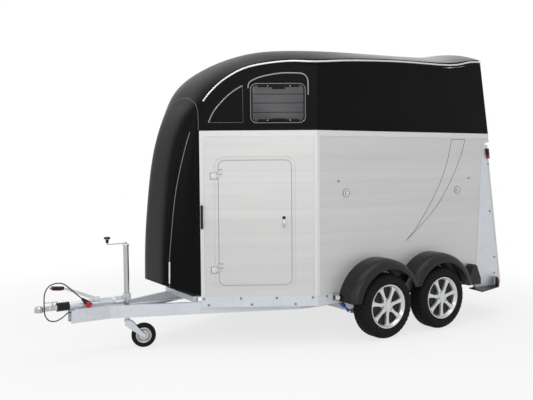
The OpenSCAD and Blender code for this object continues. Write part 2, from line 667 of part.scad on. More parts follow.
tube_z0 = 286;
module jockey_tube() color("#c6ccd1") placed() difference() {
    translate([jockey_x, 0, tube_z0]) cylinder(h = jockey_top_z - tube_z0, r = jockey_r);
    translate([jockey_x, 0, tube_z0 - 1]) cylinder(h = 380, r = jockey_bore);
}
crank_x = jockey_x + 169;
crank_z = jockey_top_z + 18;
module jockey_crank() color("#c6ccd1") placed() {
    translate([jockey_x, 0, jockey_top_z]) cylinder(h = 26, r = 12);
    translate([jockey_x, 0, crank_z]) rotate([0, 90, 0]) cylinder(h = crank_x - jockey_x, r = 6);
    translate([crank_x, 0, crank_z]) sphere(r = 6);
    translate([crank_x, 0, crank_z]) cylinder(h = 30, r = 6);
    translate([crank_x, 0, crank_z + 12]) cylinder(h = 34, r1 = 11, r2 = 15);
    translate([crank_x, 0, crank_z + 46]) cylinder(h = 16, r1 = 26, r2 = 22);
}
jockey_w = 50;
module jockey_frame() placed() translate([jockey_x, 0, 0]) rotate([0, 0, jockey_deg]) children();
fork_in = jockey_w / 2 + 6;
module jockey_fork() color("#b9bfc4") jockey_frame() {
    translate([0, 0, tube_z0 - 36]) cylinder(h = 300, r = jockey_bore - run);
    translate([-26, -fork_in - 5, tube_z0 - 46]) cube([56, 2 * fork_in + 10, 12]);
    for (s = [1, -1]) translate([0, s > 0 ? fork_in + 5 : -fork_in, 0]) rotate([90, 0, 0]) linear_extrude(5)
        hull() {
            translate([-20, tube_z0 - 46 - 34]) square([64, 34]);
            translate([jockey_trail, jockey_wheel_r]) circle(15);
        }
    translate([jockey_trail, fork_in + 8, jockey_wheel_r]) rotate([90, 0, 0]) cylinder(h = 2 * fork_in + 16, r = 8);
}
module jockey_about() jockey_frame() translate([jockey_trail, 0, jockey_wheel_r]) rotate([-90, 0, 0]) children();
jockey_rim_r = 66;
module jockey_rim() color("#c6ccd1") jockey_about() difference() {
    union() {
        rotate_extrude() polygon([[jockey_rim_r - 6, -22], [jockey_rim_r, -22], [jockey_rim_r, 22], [jockey_rim_r - 6, 22]]);
        translate([0, 0, -3]) cylinder(h = 6, r = jockey_rim_r - 3);
        translate([0, 0, -27]) cylinder(h = 54, r = 18);
    }
    translate([0, 0, -40]) cylinder(h = 80, r = 8 + run);
}
module jockey_tyre() color("#202122") jockey_about() rotate_extrude() polygon([
    [jockey_rim_r + seat, -20], [jockey_rim_r + 16, -jockey_w / 2], [jockey_wheel_r - 12, -jockey_w / 2 + 2],
    [jockey_wheel_r, -jockey_w / 2 + 12], [jockey_wheel_r, jockey_w / 2 - 12], [jockey_wheel_r - 12, jockey_w / 2 - 2],
    [jockey_rim_r + 16, jockey_w / 2], [jockey_rim_r + seat, 20]
]);

// Plug cable: from the left beam's front bracket down, up over the coupling and back to its rest.
CABLE = [
    [-254, 52, 394], [-222, 54, 390], [-182, 58, 360], [-124, 62, 336], [-68, 64, 346], [-36, 62, 390],
    [-30, 60, 450], [-30, 60, 520], [-38, 60, 580], [-68, 60, 628], [-118, 62, 650], [-178, 64, 646],
    [-228, 64, 612], [-276, 62, 564], [-316, 60, 526], [-350, 60, 494]
];
cable_r = 5;
cable_steps = 3;
function cable_key(i) = CABLE[max(0, min(len(CABLE) - 1, i))];
CABLE_LINE = [
    for (i = [0 : len(CABLE) - 2], k = [0 : cable_steps - 1])
        catmull(cable_key(i - 1), cable_key(i), cable_key(i + 1), cable_key(i + 2), k / cable_steps),
    CABLE[len(CABLE) - 1]
];
cable_sides = 8;
module tube(line, r, sides) {
    n = len(line) - 1;
    rings = [for (i = [0 : n])
        let (t = unit(line[min(n, i + 1)] - line[max(0, i - 1)]), u = unit(cross(t, [0, 1, 0])), v = cross(t, u))
        [for (k = [0 : sides - 1]) line[i] + r * (cos(k * 360 / sides) * u + sin(k * 360 / sides) * v)]];
    polyhedron([for (r = rings) each r], concat(
        [[for (k = [0 : sides - 1]) k]],
        [[for (k = [sides - 1 : -1 : 0]) n * sides + k]],
        [for (i = [0 : n - 1], k = [0 : sides - 1]) let (a = i * sides, m = (k + 1) % sides)
            [a + k, a + sides + k, a + sides + m, a + m]]
    ));
}
module plug_cable() color("#1d1e20") placed() translate([ball_x, 0, 0]) tube(CABLE_LINE, cable_r, cable_sides);
module plug() color("#b3262b") placed() translate([ball_x, 0, 0]) {
    a = CABLE[len(CABLE) - 1];
    way = unit(a - CABLE[len(CABLE) - 2]);
    translate(a) rotate([0, 90 + asin(-way.z), 180]) {
        translate([0, 0, seat]) cylinder(h = 50, r1 = 10, r2 = 21);
        translate([0, 0, seat + 50]) cylinder(h = 42, r = 24);
    }
}

// Lamps and fittings.
lamp_x = 462;
module front_lamps() color("#e8e8e4") for (s = [1, -1]) placed(s) {
    translate([lamp_x - 22, half + seat, sill_z + 34]) cube([44, 16, 56]);
    translate([lamp_x, half + 16, sill_z + 58]) rotate([-90, 0, 0]) cylinder(h = 26, r = 22);
}
marker_z = 1710;
module rear_lamps() color("#8f1d20") for (s = [1, -1]) placed(s) {
    translate([rear_plane(marker_z - 52) + post_gap, half - 20, marker_z - 52]) rotate([0, rear_lean, 0])
        translate([-24, 0, 0]) cube([24 - seat, 46, 104]);
}
FITTINGS = [[337, 1355], [-1118, 1342]];
STUDS = [[429, 1466], [-1281, 1460]];
module side_fittings() color("#d3d6d8") for (s = [1, -1]) placed(s) {
    for (p = FITTINGS) about_y(p.x, half + seat, p.y) {
        cylinder(h = 5, r = 36);
        cylinder(h = 16, r = 12);
    }
    for (p = STUDS) about_y(p.x, half + seat, p.y) cylinder(h = 10, r = 10);
}
grab_z = 1060;
grab_l = 205;
module grab_handles() color("#1f2022") for (s = [1, -1]) placed(s)
    translate([taper_x, half, 0]) rotate([0, 0, -taper_deg]) translate([front_s - front_profile_w / 2, proud + seat, grab_z]) {
        translate([-10, 0, 0]) cube([20, 34, 22]);
        translate([-10, 0, grab_l - 22]) cube([20, 34, 22]);
        translate([0, 28, 0]) cylinder(h = grab_l, r = 11);
    }
chock_x = -1290;
module chocks() color("#232426") for (s = [1, -1]) placed(s)
    translate([chock_x - 90, half + seat + 96, sill_z + 4]) rotate([90, 0, 0]) linear_extrude(96)
        polygon([[0, 0], [180, 0], [190, 40], [120, 190], [84, 210], [60, 196], [0, 60]]);
module corner_plates() color("#2a2b2d") for (s = [1, -1]) placed(s)
    translate([0, 0, post_z - 10 - seat]) linear_extrude(10) polygon([
        [rear_plane(post_z) + post_gap, half - wall_t], [post_front(sill_z) + 60, half - wall_t],
        [post_front(sill_z) + 100, half + 185], [rear_plane(post_z) + post_gap + 100, half + 90]
    ]);
partition_l = 2000;
partition_front = taper_x - 11;
partition_rise = 250;
partition_h = 1100;
post_r = 20;
module partition() color("#4a4d50") placed() {
    translate([partition_front - partition_l, -18, floor_z + floor_t + partition_rise])
        cube([partition_l, 36, partition_h]);
    for (x = [partition_front - partition_l + 5, partition_front - 50])
        translate([x, 0, floor_z + floor_t]) cylinder(h = partition_rise + partition_h + 150, r = post_r);
}
curtain_r = 45;
curtain_z = rail_z + 639;
module curtain() color("#3a3c3f") placed()
    translate([rear_plane(curtain_z) + curtain_r + 18, wall_t + seat - half, curtain_z]) rotate([-90, 0, 0])
    cylinder(h = 2 * (half - wall_t - seat), r = curtain_r);

placed(1) drawbar();  // drawbar_left
placed(-1) drawbar();  // drawbar_right
placed(1) sill();  // sill_left
placed(-1) sill();  // sill_right
cross_members();
axle(0);  // axle_front
axle(-axle_gap);  // axle_rear
dampers();
overrun_housing();
bellows();
coupling_head();
coupling_handle();
handbrake();
jockey_clamp();
jockey_tube();
jockey_crank();
jockey_fork();
jockey_rim();
jockey_tyre();
floor();
nose_tray();
placed(1) wall();  // wall_left
placed(-1) wall();  // wall_right
placed(1) front_wall();  // front_wall_left
placed(-1) front_wall();  // front_wall_right
placed(1) profiles();  // profiles_left
placed(-1) profiles();  // profiles_right
hood();
placed(1) upper_side();  // upper_side_left
placed(-1) upper_side();  // upper_side_right
placed(1) window();  // window_left
placed(-1) window();  // window_right
placed(1) rear_post();  // rear_post_left
placed(-1) rear_post();  // rear_post_right
rear_frame();
ramp();
placed(1) door();  // door_left
placed(-1) door();  // door_right
placed(1) mudguard();  // mudguard_left
placed(-1) mudguard();  // mudguard_right
front_lamps();
rear_lamps();
side_fittings();
grab_handles();
chocks();
corner_plates();
partition();
curtain();
plug_cable();
plug();
placed(1) tyre(0);  // tyre_front_left
placed(-1) tyre(0);  // tyre_front_right
placed(1) tyre(-axle_gap);  // tyre_rear_left
placed(-1) tyre(-axle_gap);  // tyre_rear_right
placed(1) rim(0);  // rim_front_left
placed(-1) rim(0);  // rim_front_right
placed(1) rim(-axle_gap);  // rim_rear_left
placed(-1) rim(-axle_gap);  // rim_rear_right
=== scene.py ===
import json
import math
from math import cos, pi, radians, sin

import bpy
from mathutils import Euler, Matrix, Vector


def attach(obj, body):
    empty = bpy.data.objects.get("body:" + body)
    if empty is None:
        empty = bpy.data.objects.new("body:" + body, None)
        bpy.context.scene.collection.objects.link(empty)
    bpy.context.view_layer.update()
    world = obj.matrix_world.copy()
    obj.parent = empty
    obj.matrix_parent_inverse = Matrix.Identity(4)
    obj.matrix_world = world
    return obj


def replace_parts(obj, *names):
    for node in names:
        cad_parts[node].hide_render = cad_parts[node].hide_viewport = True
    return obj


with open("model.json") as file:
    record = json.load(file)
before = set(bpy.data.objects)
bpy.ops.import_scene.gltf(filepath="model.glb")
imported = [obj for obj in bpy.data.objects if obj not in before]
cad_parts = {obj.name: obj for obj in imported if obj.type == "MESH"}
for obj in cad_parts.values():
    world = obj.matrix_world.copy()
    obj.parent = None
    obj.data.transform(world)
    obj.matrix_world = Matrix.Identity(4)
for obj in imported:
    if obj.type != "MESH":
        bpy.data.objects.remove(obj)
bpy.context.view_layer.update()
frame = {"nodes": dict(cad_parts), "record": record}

NODES = frame["nodes"]

# Camera: standing ahead of the trailer on its left, at a person's eye level, looking slightly down.
# Its place and lens come from the straight edges of the body in the photograph.
AXLE_X = -0.542226  # the front axle in the frame's coordinates
camera = bpy.data.objects.new("camera", bpy.data.cameras.new("camera"))
bpy.context.collection.objects.link(camera)
camera.data.sensor_width = 36
camera.data.lens = 45.99
turned = Euler((radians(90 - 3.21866), 0, radians(180 - 32.2716))).to_matrix().to_4x4()
camera.matrix_world = (
    Matrix.Translation(
        (4.26494 + AXLE_X, 5.73536, 1.64573)
    ) @ turned @ Matrix.Rotation(radians(-0.46925), 4, "Z")
)
bpy.context.scene.camera = camera
bpy.context.scene.view_settings.view_transform = "Standard"

# Plug cable: a seven-core lead in a black rubber sheath, from its clip on the left beam to the parked plug.
# It sags under the coupling, rises over it in one free loop and goes down into the plug.
BALL_X = 2.885 + AXLE_X
CABLE_POINTS = [
    (-0.254, 0.052, 0.394), (-0.222, 0.054, 0.390), (-0.182, 0.058, 0.360), (-0.124, 0.062, 0.336),
    (-0.068, 0.064, 0.346), (-0.036, 0.062, 0.390), (-0.030, 0.060, 0.450), (-0.030, 0.060, 0.520),
    (-0.038, 0.060, 0.580), (-0.068, 0.060, 0.628), (-0.118, 0.062, 0.650), (-0.178, 0.064, 0.646),
    (-0.228, 0.064, 0.612), (-0.276, 0.062, 0.564), (-0.316, 0.060, 0.526), (-0.350, 0.060, 0.494),
]
CABLE_STEPS = 3
CABLE_THICK = 0.010


def smooth_line(points, steps):
    """Points on a curve that passes through the given ones, steps of them for each span."""
    keys = [Vector(point) for point in (points[0], *points, points[-1])]
    line = []
    for a, b, c, d in zip(keys, keys[1:], keys[2:], keys[3:]):
        for step in range(steps):
            t = step / steps
            line.append(
                0.5 * (
                    2 * b + (c - a) * t + (
                        2 * a - 5 * b + 4 * c - d
                    ) * t ** 2 + (3 * b - a - 3 * c + d) * t ** 3
                )
            )
    return line + [keys[-1]]


def only(*pieces):
    """Leaves these selected, the last of them active."""
    bpy.ops.object.select_all(action="DESELECT")
    for piece in pieces:
        piece.select_set(True)
    bpy.context.view_layer.objects.active = pieces[-1]


cable_line = [Vector((BALL_X, 0, 0)) + point for point in smooth_line(CABLE_POINTS, CABLE_STEPS)]
cable_curve = bpy.data.curves.new("plug_lead", "CURVE")
cable_curve.dimensions = "3D"
cable_curve.bevel_depth = CABLE_THICK / 2
cable_curve.bevel_resolution = 4
cable_curve.use_fill_caps = True
cable_spline = cable_curve.splines.new("POLY")
cable_spline.points.add(len(cable_line) - 1)
for spot, place in zip(cable_spline.points, cable_line):
    spot.co = (*place, 1)
plug_lead = bpy.data.objects.new("plug_lead", cable_curve)
bpy.context.collection.objects.link(plug_lead)
only(plug_lead)
bpy.ops.object.convert(target="MESH")
plug_lead = bpy.context.object
bpy.ops.object.shade_smooth()
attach(plug_lead, "root")
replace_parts(plug_lead, "plug_cable")
tuple(cable_line[0])
sum(
        (b - a).length for a, b in zip(cable_line, cable_line[1:])
    )
[
        tuple(point) for point in cable_line
    ]


# Studio: a wide pale floor and a white surround, which mirror-like and clear surfaces show too.
# Broad lamps above and on both sides give soft light and a soft shadow under the chassis.
class Value:
    """A socket while a material is wired. Sums and products of values add Math nodes."""

    def __init__(self, tree, socket=None):
        self.tree, self.socket = tree, socket

    def node(self, kind, settings=None, links=None, out=0):
        made = self.tree.nodes.new(kind)
        for key, value in (settings or {}).items():
            if key == "stops":
                while len(made.color_ramp.elements) < len(value):
                    made.color_ramp.elements.new(1)
                for stop, (place, colour) in zip(made.color_ramp.elements, value):
                    stop.position, stop.color = place, (*colour, 1)
            else:
                setattr(made, key, value)
        for key, value in (links or {}).items():
            socket = made.inputs[key]
            if isinstance(value, Value):
                self.tree.links.new(value.socket, socket)
            elif socket.type == "RGBA" and len(value) == 3:
                socket.default_value = (*value, 1)
            else:
                socket.default_value = value
        return Value(self.tree, made.outputs[out])

    def math(self, operation, *values):
        return self.node("ShaderNodeMath", {"operation": operation}, dict(enumerate(values)))

    def __add__(self, other):
        return self.math("ADD", self, other)

    def __radd__(self, other):
        return self.math("ADD", other, self)

    def __sub__(self, other):
        return self.math("SUBTRACT", self, other)

    def __rsub__(self, other):
        return self.math("SUBTRACT", other, self)

    def __mul__(self, other):
        return self.math("MULTIPLY", self, other)

    def __rmul__(self, other):
        return self.math("MULTIPLY", other, self)

    def __truediv__(self, other):
        return self.math("DIVIDE", self, other)

    def __gt__(self, other):
        return self.math("GREATER_THAN", self, other)

    def __lt__(self, other):
        return self.math("LESS_THAN", self, other)


def seen(tree):
    """1 where the camera, a mirror or clear plastic looks at the surface, and 0 for the light it sends on."""
    path = tree.nodes.new("ShaderNodeLightPath")
    ray = {
        name: Value(tree, path.outputs[name])
        for name in ("Is Camera Ray", "Is Glossy Ray", "Is Transmission Ray")
    }
    return ray["Is Camera Ray"].math(
        "MAXIMUM", ray["Is Camera Ray"], ray["Is Glossy Ray"] + ray["Is Transmission Ray"]
    )


world = bpy.data.worlds.new("surround")
bpy.context.scene.world = world
world.use_nodes = True
air = world.node_tree
air.nodes["Background"].inputs["Color"].default_value = (1, 1, 1, 1)
air.links.new((0.42 + 0.58 * seen(air)).socket, air.nodes["Background"].inputs["Strength"])

bpy.ops.mesh.primitive_plane_add(size=60, location=(0, 0, -0.001))
floor = bpy.context.object
floor.name = "studio_floor"
paper = bpy.data.materials.new("studio_paper")
paper.use_nodes = True
tree = paper.node_tree
tree.nodes.remove(tree.nodes["Principled BSDF"])
start = Value(tree)
dull = start.node("ShaderNodeBsdfDiffuse", links={"Color": (0.92, 0.92, 0.92)})
glow = start.node("ShaderNodeEmission", links={"Color": (1, 1, 1), "Strength": 1.0})
spot = start.node("ShaderNodeTexCoord", out=3)
far = start.node("ShaderNodeVectorMath", {"operation": "LENGTH"}, {0: spot}, out=1)
fade = start.node(
    "ShaderNodeMapRange", {"interpolation_type": "SMOOTHSTEP"}, {0: far, 1: 2.4, 2: 5.2, 3: 0.74, 4: 1.0}
)
mixed = start.node("ShaderNodeMixShader", links={0: fade * seen(tree), 1: dull, 2: glow})
tree.links.new(mixed.socket, tree.nodes["Material Output"].inputs["Surface"])
floor.data.materials.append(paper)

for name, place, size, power in (
    ("lamp_top", (0.5, 0.5, 7.5), 7.0, 230),
    ("lamp_left", (3.5, 8.0, 4.0), 5.0, 130),
    ("lamp_front", (8.5, 1.0, 3.6), 4.5, 60),
    ("lamp_rear", (-7.5, -4.0, 5.0), 5.0, 80),
    ("lamp_strip", (5.5, 4.6, 4.2), 0.5, 22),
):
    lamp = bpy.data.objects.new(name, bpy.data.lights.new(name, "AREA"))
    bpy.context.collection.objects.link(lamp)
    lamp.data.size, lamp.data.energy = size, power
    aim = Vector((0, 0, 1.2)) - Vector(place)
    lamp.matrix_world = Matrix.Translation(place) @ aim.to_track_quat("-Z", "Y").to_matrix().to_4x4()


# Bolts hold the body on the frame: zinc-plated hexagon heads on washers, on the beams, sills and posts.
# Each head is a six-sided bar with its rims rounded, and every copy has a mesh of its own.
def rounded(piece, width, steps=2, limit=40):
    """Rounds a piece's sharp edges."""
    only(piece)
    rounding = piece.modifiers.new("rounding", "BEVEL")
    rounding.width, rounding.segments, rounding.angle_limit = width, steps, radians(limit)
    bpy.ops.object.modifier_apply(modifier=rounding.name)
    return piece


def rod(start, end, radius, tip=None, sides=20, soft=0.001):
    """A round bar from start to end with rounded rims; tip is the radius at its end."""
    start, end = Vector(start), Vector(end)
    bpy.ops.object.select_all(action="DESELECT")
    bpy.ops.mesh.primitive_cone_add(
        vertices=sides, radius1=radius, radius2=radius if tip is None else tip, depth=(end - start).length,
        location=(start + end) / 2, rotation=(end - start).to_track_quat("Z", "Y").to_euler(),
    )
    piece = bpy.context.object
    bpy.ops.object.transform_apply(location=True, rotation=True, scale=True)
    return rounded(piece, soft) if soft else piece


def moved(piece, matrix):
    """Puts a piece's mesh where a matrix says, with its faces outwards."""
    piece.data.transform(matrix)
    if matrix.determinant() < 0:
        piece.data.flip_normals()
    return piece


def repeated(piece, matrices):
    """A copy of the piece, with its own mesh, for each matrix; the piece itself goes."""
    made = []
    for matrix in matrices:
        twin = bpy.data.objects.new(piece.name, piece.data.copy())
        bpy.context.collection.objects.link(twin)
        made.append(moved(twin, matrix))
    bpy.data.objects.remove(piece)
    return made


def assembled(name, parts, material, slot, body="root", angle=35):
    """Joins parts to one piece and gives it its name, finish and body."""
    only(*parts)
    if len(parts) > 1:
        bpy.ops.object.join()
    piece = bpy.context.object
    piece.name = piece.data.name = name
    bpy.ops.object.shade_smooth_by_angle(angle=radians(angle))
    piece.data.materials.clear()
    piece.data.materials.append(material)
    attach(piece, body)
    return piece


def bolt(radius=0.009, height=0.006):
    """A hexagon head on its washer, standing on the XY plane."""
    washer = rod((0, 0, 0), (0, 0, 0.0016), radius * 1.35, sides=24, soft=0.0004)
    head = rod((0, 0, 0.0016), (0, 0, height), radius, sides=6, soft=0.0008)
    only(washer, head)
    bpy.ops.object.join()
    return bpy.context.object


# Planes of a side, drawn in (distance along it, height, distance out of it): straight part, then tapered part.
MIRROR = Matrix.Diagonal((1, -1, 1, 1))
HALF_WIDTH = 0.875
TAPER_START, TAPER = 0.661, radians(30.3)
STRAIGHT_SIDE = Matrix(((1, 0, 0, AXLE_X), (0, 0, 1, HALF_WIDTH), (0, 1, 0, 0), (0, 0, 0, 1)))
TAPERED_SIDE = Matrix((
    (
        cos(TAPER), 0, sin(TAPER), TAPER_START + AXLE_X
    ), (-sin(TAPER), 0, cos(TAPER), HALF_WIDTH), (0, 1, 0, 0), (0, 0, 0, 1)
))
SIDES = {"left": Matrix.Identity(4), "right": MIRROR}
SILL_BOLTS = [
    (1.016, 0.430), (0.687, 0.430), (0.366, 0.430), (0.043, 0.430), (0.973, 0.374), (0.590, 0.374),
    (0.200, 0.374)
]
REAR_SILL_BOLTS = [(0.56, 0.430), (0.30, 0.374), (0.20, 0.430)]
POST_BOLTS = [(-1.70, 0.43), (-1.70, 0.60), (-1.62, 1.10), (-1.585, 1.60)]


def at(plane, x, y, out=0.0):
    """The place and direction of a fastener on a side's plane."""
    return plane @ Matrix.Translation((x, y, out))


# The frame's channels, sills, axles, jockey gear and rear posts are welded steel, dipped in molten zinc.
# The zinc dries in large pale crystals, a little bluish, duller where it ran off thick edges.
def paint(name, colour, roughness, metallic=0.0, **sockets):
    """A new material with plain values on its shader."""
    material = bpy.data.materials.new(name)
    material.use_nodes = True
    shader = material.node_tree.nodes["Principled BSDF"]
    shader.inputs["Base Color"].default_value = (*colour, 1)
    shader.inputs["Roughness"].default_value = roughness
    shader.inputs["Metallic"].default_value = metallic
    for key, value in sockets.items():
        shader.inputs[key.replace("_", " ")].default_value = value
    return material


def feed(material, **values):
    """Links values to the shader's sockets."""
    shader = material.node_tree.nodes["Principled BSDF"]
    for key, value in values.items():
        material.node_tree.links.new(value.socket, shader.inputs[key.replace("_", " ")])


def texture(material, kind, scale, detail=2.0, stretch=(1, 1, 1), out=0, **more):
    """A noise, Voronoi or wave pattern on the object's own coordinates."""
    start = Value(material.node_tree)
    spot = start.node("ShaderNodeTexCoord", out=3)
    spot = start.node("ShaderNodeMapping", links={"Vector": spot, "Scale": stretch})
    links = {"Vector": spot, "Scale": scale, **more}
    if kind == "Noise":
        links["Detail"] = detail
    return start.node("ShaderNodeTex" + kind, links=links, out=out)


def blend_colours(mask, low, high):
    """A colour that runs from low to high as the mask goes from 0 to 1."""
    return mask.node("ShaderNodeMix", {"data_type": "RGBA"}, {0: mask, 6: low, 7: high}, out=2)


def bump(height, strength, distance):
    return height.node("ShaderNodeBump", links={"Height": height, "Strength": strength, "Distance": distance})


def coat(material, *names):
    """Gives CAD nodes this material."""
    for name in names:
        node = NODES[name]
        node.data.materials.clear()
        node.data.materials.append(material)


zinc = paint("galvanised_steel", (0.66, 0.69, 0.73), 0.38, 0.5)
spangle = texture(zinc, "Voronoi", 26.0)
cloud = texture(zinc, "Noise", 3.2, 4.0)
feed(
    zinc,
    Base_Color=blend_colours(spangle * 0.3 + cloud * 0.6, (0.57, 0.60, 0.645), (0.74, 0.77, 0.81)),
    Roughness=0.3 + 0.28 * cloud,
    Normal=bump(cloud, 0.12, 0.004),
)
coat(
    zinc, "drawbar_left", "drawbar_right", "sill_left", "sill_right", "cross_members", "axle_front", "axle_rear",
    "overrun_housing", "handbrake", "jockey_clamp", "jockey_tube", "jockey_crank", "jockey_fork", "jockey_rim",
    "rear_post_left", "rear_post_right", "rear_frame", "coupling_handle", "coupling_head",
)
# Dark steel for the bolt heads on the sills and posts and for the wheel bolts: painted shade, the dark round each
# head, with a random tone over it.
shaded_bolt_steel = paint("bolt_steel_painted_shade", (0.26, 0.265, 0.27), 0.5, 0.6)
shade_and_tarnish = texture(shaded_bolt_steel, "Noise", 60.0)
feed(shaded_bolt_steel, Base_Color=blend_colours(shade_and_tarnish, (0.20, 0.205, 0.21), (0.34, 0.345, 0.35)))
for side, turn in SIDES.items():
    spots = [turn @ at(TAPERED_SIDE, x, z) for x, z in SILL_BOLTS]
    spots += [turn @ at(STRAIGHT_SIDE, x, z) for x, z in REAR_SILL_BOLTS]
    spots += [turn @ at(STRAIGHT_SIDE, x, z, 0.003) for x, z in POST_BOLTS]
    assembled(f"sill_bolts_{side}", repeated(bolt(), spots), shaded_bolt_steel, "galvanised")


# Drawbar gear: bolts through beams and draw tube, the jockey clamp's tee handle, fork bolts and brake rod.
# The jockey tube and its crank are bright drawn steel; the crank ends in a black knob.
def block(low, high, soft=0.0015, steps=2):
    """A bar between two corners with rounded edges."""
    bpy.ops.object.select_all(action="DESELECT")
    bpy.ops.mesh.primitive_cube_add(size=1, location=[(a + b) / 2 for a, b in zip(low, high)])
    piece = bpy.context.object
    piece.scale = [b - a for a, b in zip(low, high)]
    bpy.ops.object.transform_apply(location=True, rotation=True, scale=True)
    bpy.ops.object.mode_set(mode="EDIT")
    bpy.ops.mesh.select_all(action="SELECT")
    bpy.ops.mesh.bevel(offset=soft, segments=steps, affect="EDGES")
    bpy.ops.object.mode_set(mode="OBJECT")
    return piece


def turned(profile, centre, axis, steps=48):
    """A ring or knob turned from a closed profile of (radius, distance along the axis)."""
    centre, axis = Vector(centre), Vector(axis).normalized()
    across = axis.orthogonal().normalized()
    bpy.ops.object.select_all(action="DESELECT")
    bpy.ops.mesh.primitive_circle_add(vertices=len(profile), fill_type="NOTHING")
    piece = bpy.context.object
    for vertex, (radius, rise) in zip(piece.data.vertices, profile):
        vertex.co = centre + across * radius + axis * rise
    bpy.ops.object.mode_set(mode="EDIT")
    bpy.ops.mesh.select_all(action="SELECT")
    bpy.ops.mesh.spin(steps=steps, angle=2 * pi, center=centre, axis=axis)
    bpy.ops.mesh.select_all(action="SELECT")
    bpy.ops.mesh.remove_doubles(threshold=0.00001)
    bpy.ops.mesh.normals_make_consistent(inside=False)
    bpy.ops.object.mode_set(mode="OBJECT")
    return piece


bright_steel = paint("bright_steel", (0.46, 0.475, 0.49), 0.2, 0.95)
polish = texture(bright_steel, "Noise", 30.0, 2.0, (1, 1, 0.1))
feed(bright_steel, Roughness=0.14 + 0.16 * polish)
coat(bright_steel, "jockey_tube", "jockey_crank", "coupling_head", "jockey_rim")
JOCKEY_X = 2.120 + AXLE_X
OUTWARD = Matrix(((1, 0, 0, 0), (0, 0, 1, 0), (0, 1, 0, 0), (0, 0, 0, 1)))
spots = []
for x in (2.575, 2.505, 2.340):
    for z in (0.325, 0.372):
        spots.append(Matrix.Translation((x + AXLE_X, 0.056, z)) @ OUTWARD)
assembled("beam_bolts_left", repeated(bolt(0.008), spots), zinc, "galvanised")
assembled("beam_bolts_right", repeated(bolt(0.008), [MIRROR @ spot for spot in spots]), zinc, "galvanised")
plate_spots = [Matrix.Translation((x + AXLE_X, y, 0.4125)) for x in (2.255, 2.575) for y in (-0.043, 0.043)]
head_spots = [Matrix.Translation((x + AXLE_X, 0.0285, 0.438)) @ OUTWARD for x in (2.752, 2.800)]
assembled("coupling_bolts", repeated(bolt(0.008), plate_spots + head_spots), zinc, "galvanised")
tee = [
    rod((JOCKEY_X + 0.030, 0.052, 0.460), (JOCKEY_X + 0.030, 0.072, 0.460), 0.006),
    rod((JOCKEY_X + 0.030, 0.068, 0.425), (JOCKEY_X + 0.030, 0.068, 0.495), 0.0055),
]
assembled("clamp_handle", tee, bright_steel, "galvanised")
collar = [
    block((JOCKEY_X - 0.030, -0.012, 0.905), (JOCKEY_X + 0.030, 0.012, 0.9195), 0.003),
    rod((JOCKEY_X, 0, 0.914), (JOCKEY_X, 0, 0.925), 0.0262, 0.018, 28),
]
for part, base in zip(collar, (0.0, 0.0)):
    moved(part, Matrix.Translation((0, 0, 0.006)))
assembled("jockey_collar", collar, zinc, "galvanised")
KNOB_X, KNOB_Z = 2.289 + AXLE_X, 0.950
KNOB = [
    (0.0062, 0.0), (0.0135, 0.0), (0.0125, 0.012), (0.0155, 0.030), (0.0270, 0.036), (0.0285, 0.042),
    (0.0270, 0.049), (0.0200, 0.0525), (0.0, 0.0535), (0.0, 0.0505), (0.0062, 0.045),
]
knob_black = paint("knob_black", (0.010, 0.010, 0.011), 0.4, Specular_IOR_Level=0.3)
knob_wear = texture(knob_black, "Noise", 60.0)
feed(knob_black, Roughness=0.3 + 0.2 * knob_wear)
assembled("crank_knob", [turned(KNOB, (KNOB_X, 0, KNOB_Z), (0, 0, 1), 32)], knob_black, "black_plastic")
SLEEVE = [
    (0.0141, 0.002), (0.0160, 0.004), (0.0172, 0.010), (0.0160, 0.018), (0.0172, 0.028), (0.0160, 0.038), (0.0172, 0.048),
    (0.0160, 0.058), (0.0172, 0.068), (0.0160, 0.078), (0.0172, 0.090), (0.0160, 0.104), (0.0141, 0.106),
]
LEVER_END, LEVER_WAY = Vector((2.682 + AXLE_X, 0.0303, 0.598)), Vector(
    (sin(radians(84)), 0, cos(radians(84)))
)
assembled("lever_sleeve", [turned(SLEEVE, LEVER_END, LEVER_WAY, 28)], knob_black, "black_plastic")
button_red = paint("button_red", (0.50, 0.02, 0.02), 0.35)
button_wear = texture(button_red, "Noise", 60.0)
feed(button_red, Roughness=0.28 + 0.16 * button_wear)
button_from = LEVER_END + LEVER_WAY * 0.107
under = block((0.020, -0.006, -0.0195), (0.092, 0.006, -0.0155), 0.0015)
moved(under, Matrix.Translation(LEVER_END) @ Matrix.Rotation(radians(-6), 4, "Y"))
assembled(
    "lever_release", [rod(button_from, button_from + LEVER_WAY * 0.010, 0.008), under], button_red, "plug_red"
)
PIVOT = Vector((2.400 + AXLE_X, 0.0343, 0.475))
brake_plates = [
    rod(PIVOT, PIVOT + Vector((0, 0.004, 0)), 0.028, sides=32),
    rod((2.470 + AXLE_X, 0.044, 0.448), (2.330 + AXLE_X, 0.044, 0.440), 0.009),
    rod((2.330 + AXLE_X, 0.044, 0.440), (2.262 + AXLE_X, 0.044, 0.436), 0.005),
    rod((2.470 + AXLE_X, 0.034, 0.448), (2.470 + AXLE_X, 0.050, 0.448), 0.006),
    rod((2.275 + AXLE_X, 0.026, 0.437), (2.275 + AXLE_X, 0.050, 0.437), 0.006),
]
brake_plates += repeated(bolt(0.009), [Matrix.Translation(PIVOT + Vector((0, 0.004, 0))) @ OUTWARD])
assembled("brake_linkage", brake_plates, zinc, "galvanised")
FORK_TURN = Matrix.Translation((JOCKEY_X, 0, 0)) @ Matrix.Rotation(radians(159), 4, "Z")
fork_spots = [
    FORK_TURN @ Matrix.Translation(
        (0.142, 0.039 * s, 0.108)
    ) @ Matrix.Rotation(radians(-90 * s), 4, "X") for s in (1, -1)
]
assembled("fork_bolts", repeated(bolt(0.010, 0.007), fork_spots), zinc, "galvanised", "jockey_fork")
WHEEL_TURN = FORK_TURN @ Matrix.Translation((0.142, 0, 0.108))
RIM_BEAD = [
    (0.046, -0.005), (0.050, -0.0075), (0.054, -0.005), (0.054, 0.005), (0.050, 0.0075), (0.046, 0.005)
]
